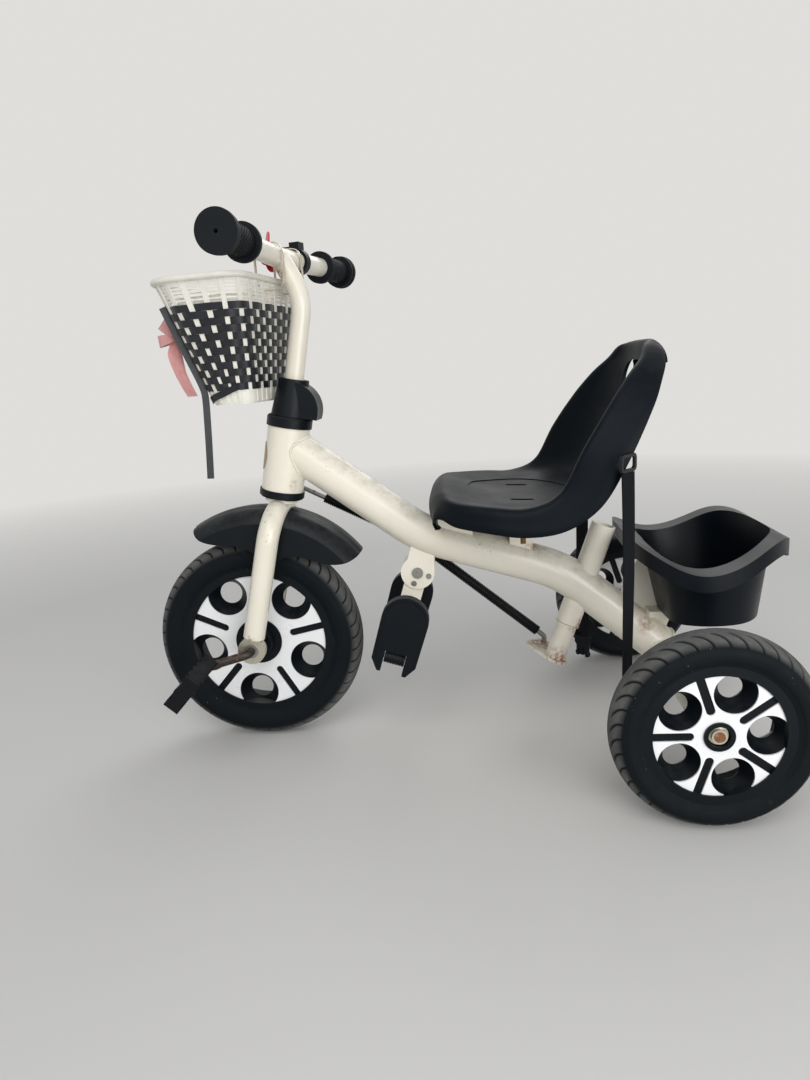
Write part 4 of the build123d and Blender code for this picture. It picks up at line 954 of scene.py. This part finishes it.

# %% [markdown]
# ## Ribbon bow
# The bow is one thin ribbon: two loops, two tails and a wrap for the knot. Each loop leaves the knot
# pinched and opens to the ribbon's width. The length of its run is printed.

# %% Bow
BOW_OUT = np.array([-math.cos(math.radians(9)), -math.sin(math.radians(9)), 0.0])
BOW_SIDE = np.array([-BOW_OUT[1], BOW_OUT[0], 0.0])
BOW_KNOT = np.array([-43.9, -46.5, 484.0]) + 0.8 * BOW_OUT
UP = np.array([0.0, 0.0, 1.0])
RIBBON, RIBBON_THICK = 13.0, 0.0003
WRAP_HIGH, WRAP_DEEP, WRAP_HALF, WRAP_THICK, WRAP_STEPS = 4.4, 3.2, 4.0, 0.0004, 24
LONG_TAIL = [(-4, -2, -1), (-7, -5, -14), (-1, -6, -34), (6, -8, -50), (13, -8, -64)]
SHORT_TAIL = [(-4, 2, -1), (-8, 5, -12), (-5, 7, -28), (-2, 8, -46)]


def bow_loop(rise, long, wide, lean):
    """One loop of the bow: it stands out from the basket, and its two layers lie side by side."""
    turn = np.linspace(0.12, math.tau - 0.12, 30)[:, None]
    away = BOW_OUT * math.cos(rise) + UP * math.sin(rise)
    across = np.cross(away, BOW_SIDE) + lean * BOW_SIDE
    line = BOW_KNOT + away * long / 2 * (1 - np.cos(turn)) + BOW_SIDE * wide / 2 * np.sin(turn)
    line = line + 1.5 * BOW_OUT
    width = RIBBON / 2 * (0.3 + 0.7 * np.sin(turn / 2))
    return on_bar(line), on_bar(line + across * width) - on_bar(line), RIBBON_THICK, False


def bow_tail(points, twist):
    """One hanging tail with a slow twist."""
    line = smooth_line(on_bar([BOW_KNOT + np.array(p) for p in points]))
    turn = np.linspace(0.1, twist, len(line))[:, None]
    facing = way_on_bar(BOW_OUT) * np.cos(turn) + way_on_bar(BOW_SIDE) * np.sin(turn)
    width = np.minimum(1, 0.35 + 3 * np.linspace(0, 1, len(line)))[:, None]
    return line, facing * RIBBON / 2 * width, RIBBON_THICK, False


def bow_wrap():
    """The wrap round the knot."""
    turn = turns(WRAP_STEPS)[:, None]
    line = BOW_KNOT + WRAP_HIGH * np.cos(turn) * UP + (2.0 + WRAP_DEEP * np.sin(turn)) * BOW_OUT
    across = np.repeat([way_on_bar(BOW_SIDE) * WRAP_HALF], WRAP_STEPS, 0)
    return on_bar(line), across, WRAP_THICK, True


bow_parts = [bow_loop(0.8, 22, 12, 0.25), bow_loop(-0.15, 21, 13, -0.2), bow_wrap(),
             bow_tail(LONG_TAIL, 0.95), bow_tail(SHORT_TAIL, -0.9)]
bow_points, bow_faces, bow_uv = gather(bow_parts)
ribbon = new_piece("bow_ribbon", bow_points, bow_faces, ribbon_pink, "bars", "ribbon", ["ribbon_bow"],
                   uv=bow_uv)
print("ribbon run", round(sum(way_along(part[0])[-1] for part in bow_parts), 4), "m")

# %% [markdown]
# ## Ties
# Two clear plastic bands go round the handlebar and through the basket's back. A power below one on the
# sine and cosine squares up a circle, which gives a ring with rounded corners.

# %% Ties
TIE_LOW, TIE_TOP_Z, TIE_PAST_BAR = np.array([44.0, 527.0]), 575.6, 12.6
TIE_PLACES, TIE_HALF, TIE_THICK = (-22.0, 32.0), 2.0, 0.0012


def tie(y):
    """A band round the bar and the basket's back, as a rounded ring."""
    bar_x = BAR_MIDDLE[0] + abs(y) * math.tan(BAR_SWEEP)
    high = np.array([bar_x + TIE_PAST_BAR, TIE_TOP_Z])
    mid, half = (TIE_LOW + high) / 2, (high - TIE_LOW) / 2
    turn = turns(48)
    round_x, round_z = (np.sign(wave) * np.abs(wave) ** 0.5 for wave in (np.cos(turn), np.sin(turn)))
    line = np.stack([mid[0] + half[0] * round_x, np.full(len(turn), y), mid[1] + half[1] * round_z], 1)
    return on_bar(line), on_bar(line + [0, TIE_HALF, 0]) - on_bar(line), TIE_THICK, True


tie_parts = gather([tie(y) for y in TIE_PLACES])
new_piece("tie_loops", *tie_parts[:2], tie_clear, "bars", "tie", ["basket_ties"])

# %% [markdown]
# ## A plain oval plate
# A thin oval plate is glued round the front of the head tube. It carries nothing. Its rings of points
# lie on the tube: they grow from the middle to the rim, and then shrink again just under the first ones.

# %% Oval plate
HEAD_R, PLATE_TOP, PLATE_BACK = 24.25, 0.7, 0.05
PLATE_HALF, PLATE_Z, PLATE_TURN = (11, 16), 38, math.radians(196)


def oval_plate():
    """Points and faces of an oval on the head tube, with a thickness of its own."""
    rings, sides = 5, 40
    growing = [(HEAD_R + PLATE_TOP, ring) for ring in range(1, rings + 1)]
    shrinking = [(HEAD_R + PLATE_BACK, ring) for ring in range(rings, 0, -1)]
    points = []
    for layer, ring in growing + shrinking:
        for k in range(sides):
            a = math.tau * k / sides
            bend = PLATE_TURN + PLATE_HALF[0] * ring / rings * math.cos(a) / HEAD_R
            z = PLATE_Z + PLATE_HALF[1] * ring / rings * math.sin(a)
            points.append((layer * math.cos(bend), layer * math.sin(bend), z))
    return on_head(points), skin(2 * rings, sides)


new_piece("head_plate", *oval_plate(), plate_brown, "frame", "frame_paint")

# %% [markdown]
# ## Painted shade in the seat's slots
# The pan has two slots for its bolts, and a black pad lies under each as painted shade, so the slots look
# dark. A pad is a flat shape with round ends: its outline is worked out once and drawn at two heights.

# %% Slot pads of painted shade
SLOT_X, SLOT_Y, PAD_LONG, PAD_WIDE, PAD_Z = 318, 50, 25.2, 8.2, (285.6, 287.6)


def slot_shade_pad(y):
    """A thin dark pad of painted shade with round ends in one slot, as points and faces."""
    turn = turns(32)
    x = SLOT_X + PAD_WIDE / 2 * np.cos(turn) + np.sign(np.cos(turn)) * (PAD_LONG - PAD_WIDE) / 2
    outline = np.stack([x, y + PAD_WIDE / 2 * np.sin(turn)], 1)
    return metres([(*p, z) for z in PAD_Z for p in outline]), skin(2, 32)


# A dark pad under each slot is painted shade, so that the slot looks dark.
for side, sign in SIDES:
    new_piece(f"slot_shade_pad_{side}", *slot_shade_pad(sign * SLOT_Y), pad_black, "frame", "seat")

# %% [markdown]
# ## Rollers of the foot rest
# Each pad hinges on a lug of the beam, and a ribbed black sleeve lies round the lug in the pad's notch.
# It is a turned shape: a profile of lengths and radii spun about the hinge. It stays a little smaller
# than the notch, so that the pad can fold round it.

# %% Foot-rest rollers
REST_TILT = np.array(Matrix.Rotation(math.radians(18.2), 3, "Y"))
REST_PIVOT = np.array([197.0, 0.0, 201.0])
REST_LONG, HINGE_Y = 92.7, 55.5
ROLLER_HALF, ROLLER_R, ROLLER_END_R, RIB_RISE, RIB_PITCH = 11.8, 7.35, 6.2, 0.35, 3.4


def roller(y):
    """A ribbed sleeve about the hinge of one pad, as points and faces."""
    lengths = np.linspace(-ROLLER_HALF, ROLLER_HALF, 36)
    ribs = [(x, ROLLER_R + RIB_RISE * math.cos(math.tau * x / RIB_PITCH)) for x in lengths]
    profile = [(-ROLLER_HALF, ROLLER_END_R), *ribs, (ROLLER_HALF, ROLLER_END_R)]
    points = [(x, y + r * math.sin(a), r * math.cos(a) - REST_LONG) for x, r in profile for a in turns(40)]
    return metres(np.array(points) @ REST_TILT.T + REST_PIVOT), skin(len(profile), 40)


for side, sign in SIDES:
    new_piece(f"hinge_roller_{side}", *roller(sign * HINGE_Y), pad_black, "foot_rest", "foot_rest")

# %% [markdown]
# ## Repeats with Geometry Nodes
# Ribs on a sleeve, bumps on a grip and the beads of a weld are the same small shape many times. A
# Geometry Nodes tree places that shape along a curve or on points. Its inputs have names, so that the
# count and size can be changed in one place. Afterwards the result is turned into a plain mesh.

# %% Geometry Nodes helpers


def new_tree(name, inputs):
    """An empty tree with named inputs and its two ends."""
    tree = bpy.data.node_groups.new(name, "GeometryNodeTree")
    tree.is_modifier = True
    tree.interface.new_socket("Geometry", in_out="INPUT", socket_type="NodeSocketGeometry")
    for label, kind in inputs.items():
        tree.interface.new_socket(label, in_out="INPUT", socket_type="NodeSocket" + kind)
    tree.interface.new_socket("Geometry", in_out="OUTPUT", socket_type="NodeSocketGeometry")
    return tree, tree.nodes.new("NodeGroupInput").outputs, tree.nodes.new("NodeGroupOutput").inputs


def repeat_on(tree, places, shape, more):
    """Copies of a shape on points."""
    values = {"Points": places, "Instance": shape.outputs["Mesh"], **more}
    return add(tree, "GeometryNodeInstanceOnPoints", values).outputs["Instances"]


def along_curve(tree, given):
    """Points along the tree's curve, one for each pitch."""
    values = {"Curve": given["Geometry"], "Length": given["Pitch"]}
    return add(tree, "GeometryNodeCurveToPoints", values, mode="LENGTH").outputs


def end_tree(tree, geometry, given, result):
    """The end of each tree: copies become real mesh, and the mesh gets its finish."""
    plain = add(tree, "GeometryNodeRealizeInstances", {"Geometry": geometry}).outputs["Geometry"]
    done = add(tree, "GeometryNodeSetMaterial", {"Geometry": plain, "Material": given["Finish"]})
    tree.links.new(done.outputs["Geometry"], result["Geometry"])
    return tree


def grow(name, data, tree, values):
    """Runs a tree on a curve or mesh and returns the result as a plain mesh."""
    holder = bpy.data.objects.new(name + "_holder", data)
    modifier = holder.modifiers.new("repeat", "NODES")
    modifier.node_group = tree
    for item in tree.interface.items_tree:
        if item.in_out == "INPUT" and item.name in values:
            modifier[item.identifier] = values[item.name]
    return as_mesh(holder)


print("tree helpers ready")

# %% [markdown]
# ## Ribbed sleeve of the link
# The rod from the push bar to the fork runs in a ribbed hose. The hose is a circle swept along the rod's
# line, and the ribs are small rings at an even pitch, so both follow the same curve.

# %% Sleeve ribs
LINK_FRONT = np.array([34.67, 40, 313.32])
LINK_KNEE = np.array([185.0, 40, 234.3])
LINK_BACK = np.array([347.18, 40, 97.6])
SLEEVE_FROM, SLEEVE_LONG = 58, 311
KNEE_FAR, KNEE_NEAR = 40, 8


def sleeve_tree():
    """A hose along a curve with a round rib at each pitch."""
    tree, given, result = new_tree("ribbed_sleeve", {
        "Pitch": "Float", "Rib radius": "Float", "Root radius": "Float", "Rib size": "Float",
        "Finish": "Material"})
    circles = []
    for label, sides in (("Root radius", 24), ("Rib radius", 24), ("Rib size", 8)):
        values = {"Resolution": sides, "Radius": given[label]}
        circles.append(add(tree, "GeometryNodeCurvePrimitiveCircle", values).outputs["Curve"])
    root, ring, wire = circles
    rib = add(tree, "GeometryNodeCurveToMesh", {"Curve": ring, "Profile Curve": wire})
    hose = add(tree, "GeometryNodeCurveToMesh", {"Curve": given["Geometry"], "Profile Curve": root,
                                                 "Fill Caps": True})
    spots = along_curve(tree, given)
    ribs = repeat_on(tree, spots["Points"], rib, {"Rotation": spots["Rotation"]})
    both = add(tree, "GeometryNodeJoinGeometry")
    for part in (hose.outputs["Mesh"], ribs):
        tree.links.new(part, both.inputs["Geometry"])
    return end_tree(tree, both.outputs["Geometry"], given, result)


along_1 = (LINK_KNEE - LINK_FRONT) / np.linalg.norm(LINK_KNEE - LINK_FRONT)
along_2 = (LINK_BACK - LINK_KNEE) / np.linalg.norm(LINK_BACK - LINK_KNEE)
sleeve_end = SLEEVE_FROM + SLEEVE_LONG - np.linalg.norm(LINK_KNEE - LINK_FRONT)
sleeve_route = [LINK_FRONT + SLEEVE_FROM * along_1, LINK_KNEE - KNEE_FAR * along_1,
                LINK_KNEE - KNEE_NEAR * along_1, LINK_KNEE + KNEE_NEAR * along_2,
                LINK_KNEE + KNEE_FAR * along_2, LINK_KNEE + sleeve_end * along_2]
sleeve_mesh = grow("sleeve", route_curve("sleeve", metres(sleeve_route)), sleeve_tree(), {
    "Pitch": 0.0027, "Rib radius": 0.0055, "Root radius": 0.0053, "Rib size": 0.0008,
    "Finish": sleeve_black})
place_piece("ribbed_sleeve", sleeve_mesh, None, "link", ["link_sleeve"], 50)

# %% [markdown]
# ## Bumps on the grips
# A grip has rows of small blocks, each row half a step on from the last. A tube of points lies on the
# grip, and the tree puts a block on every point, square to the surface.

# %% Grip bumps
GRIP_R, BUMPS_FROM, BUMPS_LONG = 14.0, 117, 50
BUMP_SIZE = (0.0016, 0.0016, 0.0010)


def bump_tree():
    """A small block on each point, standing square to the surface."""
    tree, given, result = new_tree("bumps", {"Size": "Vector", "Finish": "Material"})
    block = add(tree, "GeometryNodeMeshCube", {"Size": given["Size"]})
    facing = add(tree, "GeometryNodeInputNormal").outputs["Normal"]
    turn = add(tree, "FunctionNodeAlignRotationToVector", {"Vector": facing}, axis="Z")
    set_on = repeat_on(tree, given["Geometry"], block, {"Rotation": turn.outputs["Rotation"]})
    return end_tree(tree, set_on, given, result)


def grip_cage(sign):
    """A tube of points on the grip, one for each bump, open at both ends."""
    sides, rows = 22, 16
    points = []
    for row in range(rows):
        out = BUMPS_FROM + BUMPS_LONG * row / (rows - 1)
        for k in range(sides):
            turn = math.tau * (k + 0.5 * (row % 2)) / sides
            ahead, up = GRIP_R * math.cos(turn), GRIP_R * math.sin(turn)
            x = ahead * math.cos(BAR_SWEEP) + out * math.sin(BAR_SWEEP)
            y = sign * (out * math.cos(BAR_SWEEP) - ahead * math.sin(BAR_SWEEP))
            points.append(BAR_MIDDLE + [x, y, up])
    faces = [face[::-1] for face in skin(rows, sides)[:-2]]
    mesh = bpy.data.meshes.new("grip_cage")
    mesh.from_pydata([tuple(p) for p in on_bar(points)], [], faces)
    return mesh


knurl = bump_tree()
for side, sign in SIDES:
    mesh = grow("grip", grip_cage(sign), knurl, {"Size": BUMP_SIZE, "Finish": grip_black})
    place_piece(f"grip_bumps_{side}", mesh, None, "bars")

# %% [markdown]
# ## Weld beads
# The frame's tubes are welded. A weld is a row of small overlapping beads round a joint. For each joint
# a curve is worked out on the tube: points go round one tube and slide along it until they meet the
# other.

# %% Weld beads
MAIN_FRONT, MAIN_BACK = np.array([205.0, 0, 244]), np.array([365.0, 0, 194])
JOINT_Z = 358.0
HEAD_JOINT = np.array([steer_x(JOINT_Z), 0, JOINT_Z])
AXLE_WAY = (111, 0, -95)
MAIN_WELD_R, HEAD_WELD_R, AXLE_WELD_R = 22.6, 24.4, 14.2


def bead_tree():
    """Small beads of slightly different sizes along a curve."""
    tree, given, result = new_tree("weld_beads", {
        "Pitch": "Float", "Bead": "Float", "Seed": "Int", "Finish": "Material"})
    ball = add(tree, "GeometryNodeMeshIcoSphere", {"Radius": given["Bead"], "Subdivisions": 2})
    spots = along_curve(tree, given)
    least, most = 2, 3
    values = {least: 0.8, most: 1.15, "Seed": given["Seed"]}
    size = add(tree, "FunctionNodeRandomValue", values, data_type="FLOAT").outputs[1]
    beads = repeat_on(tree, spots["Points"], ball, {"Scale": size, "Rotation": spots["Rotation"]})
    return end_tree(tree, beads, given, result)


def meeting(tube_at, tube_way, post_at, post_way, post_r, count=36):
    """Points round the main tube where it meets a post: each slides along the tube to the post."""
    tube_way = np.array(tube_way) / np.linalg.norm(tube_way)
    post_way = np.array(post_way, float) / np.linalg.norm(post_way)
    first_way = np.array([0.0, 1.0, 0.0])
    second_way = np.cross(tube_way, first_way)
    found = []
    for k in range(count):
        turn = math.tau * k / count
        edge = tube_at + MAIN_WELD_R * (math.cos(turn) * first_way + math.sin(turn) * second_way)
        start = edge - post_at
        a = tube_way - post_way * (tube_way @ post_way)
        b = start - post_way * (start @ post_way)
        qa, qb, qc = a @ a, 2 * a @ b, b @ b - post_r ** 2
        inside = max(qb * qb - 4 * qa * qc, 0.0)
        found.append(edge + tube_way * (-qb - math.sqrt(inside)) / (2 * qa))
    return found


beads = bead_tree()
welds = {
    "weld_head": meeting(MAIN_FRONT, HEAD_JOINT - MAIN_FRONT, STEER_FOOT, STEER_AXIS, HEAD_WELD_R),
    "weld_axle": meeting(MAIN_BACK, AXLE_WAY, REAR_AXLE, (0, 1, 0), AXLE_WELD_R),
}
for number, (name, route) in enumerate(welds.items()):
    mesh = grow(name, route_curve(name, metres(route), True), beads, {
        "Pitch": 0.0022, "Bead": 0.0019, "Seed": 7 + number, "Finish": frame_paint})
    place_piece(name, mesh, None, "frame")

# %% [markdown]
# ## Floor
# The floor is plain and pale. Far from the object it thins out to nothing, so that no edge shows where
# it ends against the background.

# %% Floor
FLOOR, FLOOR_HALF = (0.66, 0.65, 0.63), 3


def floor_finish():
    """A pale floor that thins out far from the object."""
    material, tree = new_finish("floor_pale", FLOOR, 0.85)
    shader = tree.nodes["Principled BSDF"]
    far = add(tree, "ShaderNodeVectorMath", {0: coords(tree)}, operation="LENGTH").outputs["Value"]
    clear = add(tree, "ShaderNodeBsdfTransparent").outputs["BSDF"]
    values = {0: level(tree, far, 1.0, 2.6), 1: shader.outputs["BSDF"], 2: clear}
    mix = add(tree, "ShaderNodeMixShader", values)
    feed(tree, tree.nodes["Material Output"], {"Surface": mix.outputs["Shader"]})
    return material


floor_mesh = bpy.data.meshes.new("floor")
corners = [(-1, -1), (1, -1), (1, 1), (-1, 1)]
floor_mesh.from_pydata([(FLOOR_HALF * x, FLOOR_HALF * y, 0) for x, y in corners], [], [(0, 1, 2, 3)])
floor_mesh.materials.append(floor_finish())
floor_plane = bpy.data.objects.new("floor", floor_mesh)
scene.collection.objects.link(floor_plane)
print("floor", FLOOR)

# %% [markdown]
# ## Light
# Soft light from large panels shows the black plastics by their reflections. The background that the
# camera sees is paler than the light that falls on the object, which a mix on the light path allows.

# %% Light
world = bpy.data.worlds.new("studio")
world.use_nodes = True
scene.world = world
sky = world.node_tree
soft = sky.nodes["Background"]
feed(sky, soft, {"Color": (0.95, 0.97, 1.0, 1), "Strength": 0.42})
shown_sky = add(sky, "ShaderNodeBackground", {"Color": (0.74, 0.73, 0.71, 1), "Strength": 1.0})
rays = add(sky, "ShaderNodeLightPath").outputs
seen = times(sky, rays["Is Camera Ray"], rays["Is Glossy Ray"], "MAXIMUM")
seen = times(sky, seen, rays["Is Transmission Ray"], "MAXIMUM")
either = add(sky, "ShaderNodeMixShader", {0: seen, 1: soft.outputs["Background"],
                                          2: shown_sky.outputs["Background"]})
feed(sky, sky.nodes["World Output"], {"Surface": either.outputs["Shader"]})


def panel(name, at, target, size, power):
    """A soft square light that looks at a point."""
    lamp = bpy.data.lights.new(name, "AREA")
    lamp.shape = "SQUARE"
    lamp.size = size
    lamp.energy = power
    lit = bpy.data.objects.new(name, lamp)
    scene.collection.objects.link(lit)
    lit.location = at
    lit.rotation_euler = (Vector(target) - Vector(at)).to_track_quat("-Z", "Y").to_euler()


panel("key_light", (-0.2, -1.7, 1.7), (0, 0, 0.25), 1.5, 19)
panel("fill_light", (1.0, -1.6, 0.45), (0.15, 0, 0.2), 1.2, 19)
panel("back_light", (0.3, 1.6, 1.7), (0, 0, 0.3), 1.2, 9)
scene.view_settings.view_transform = "Standard"
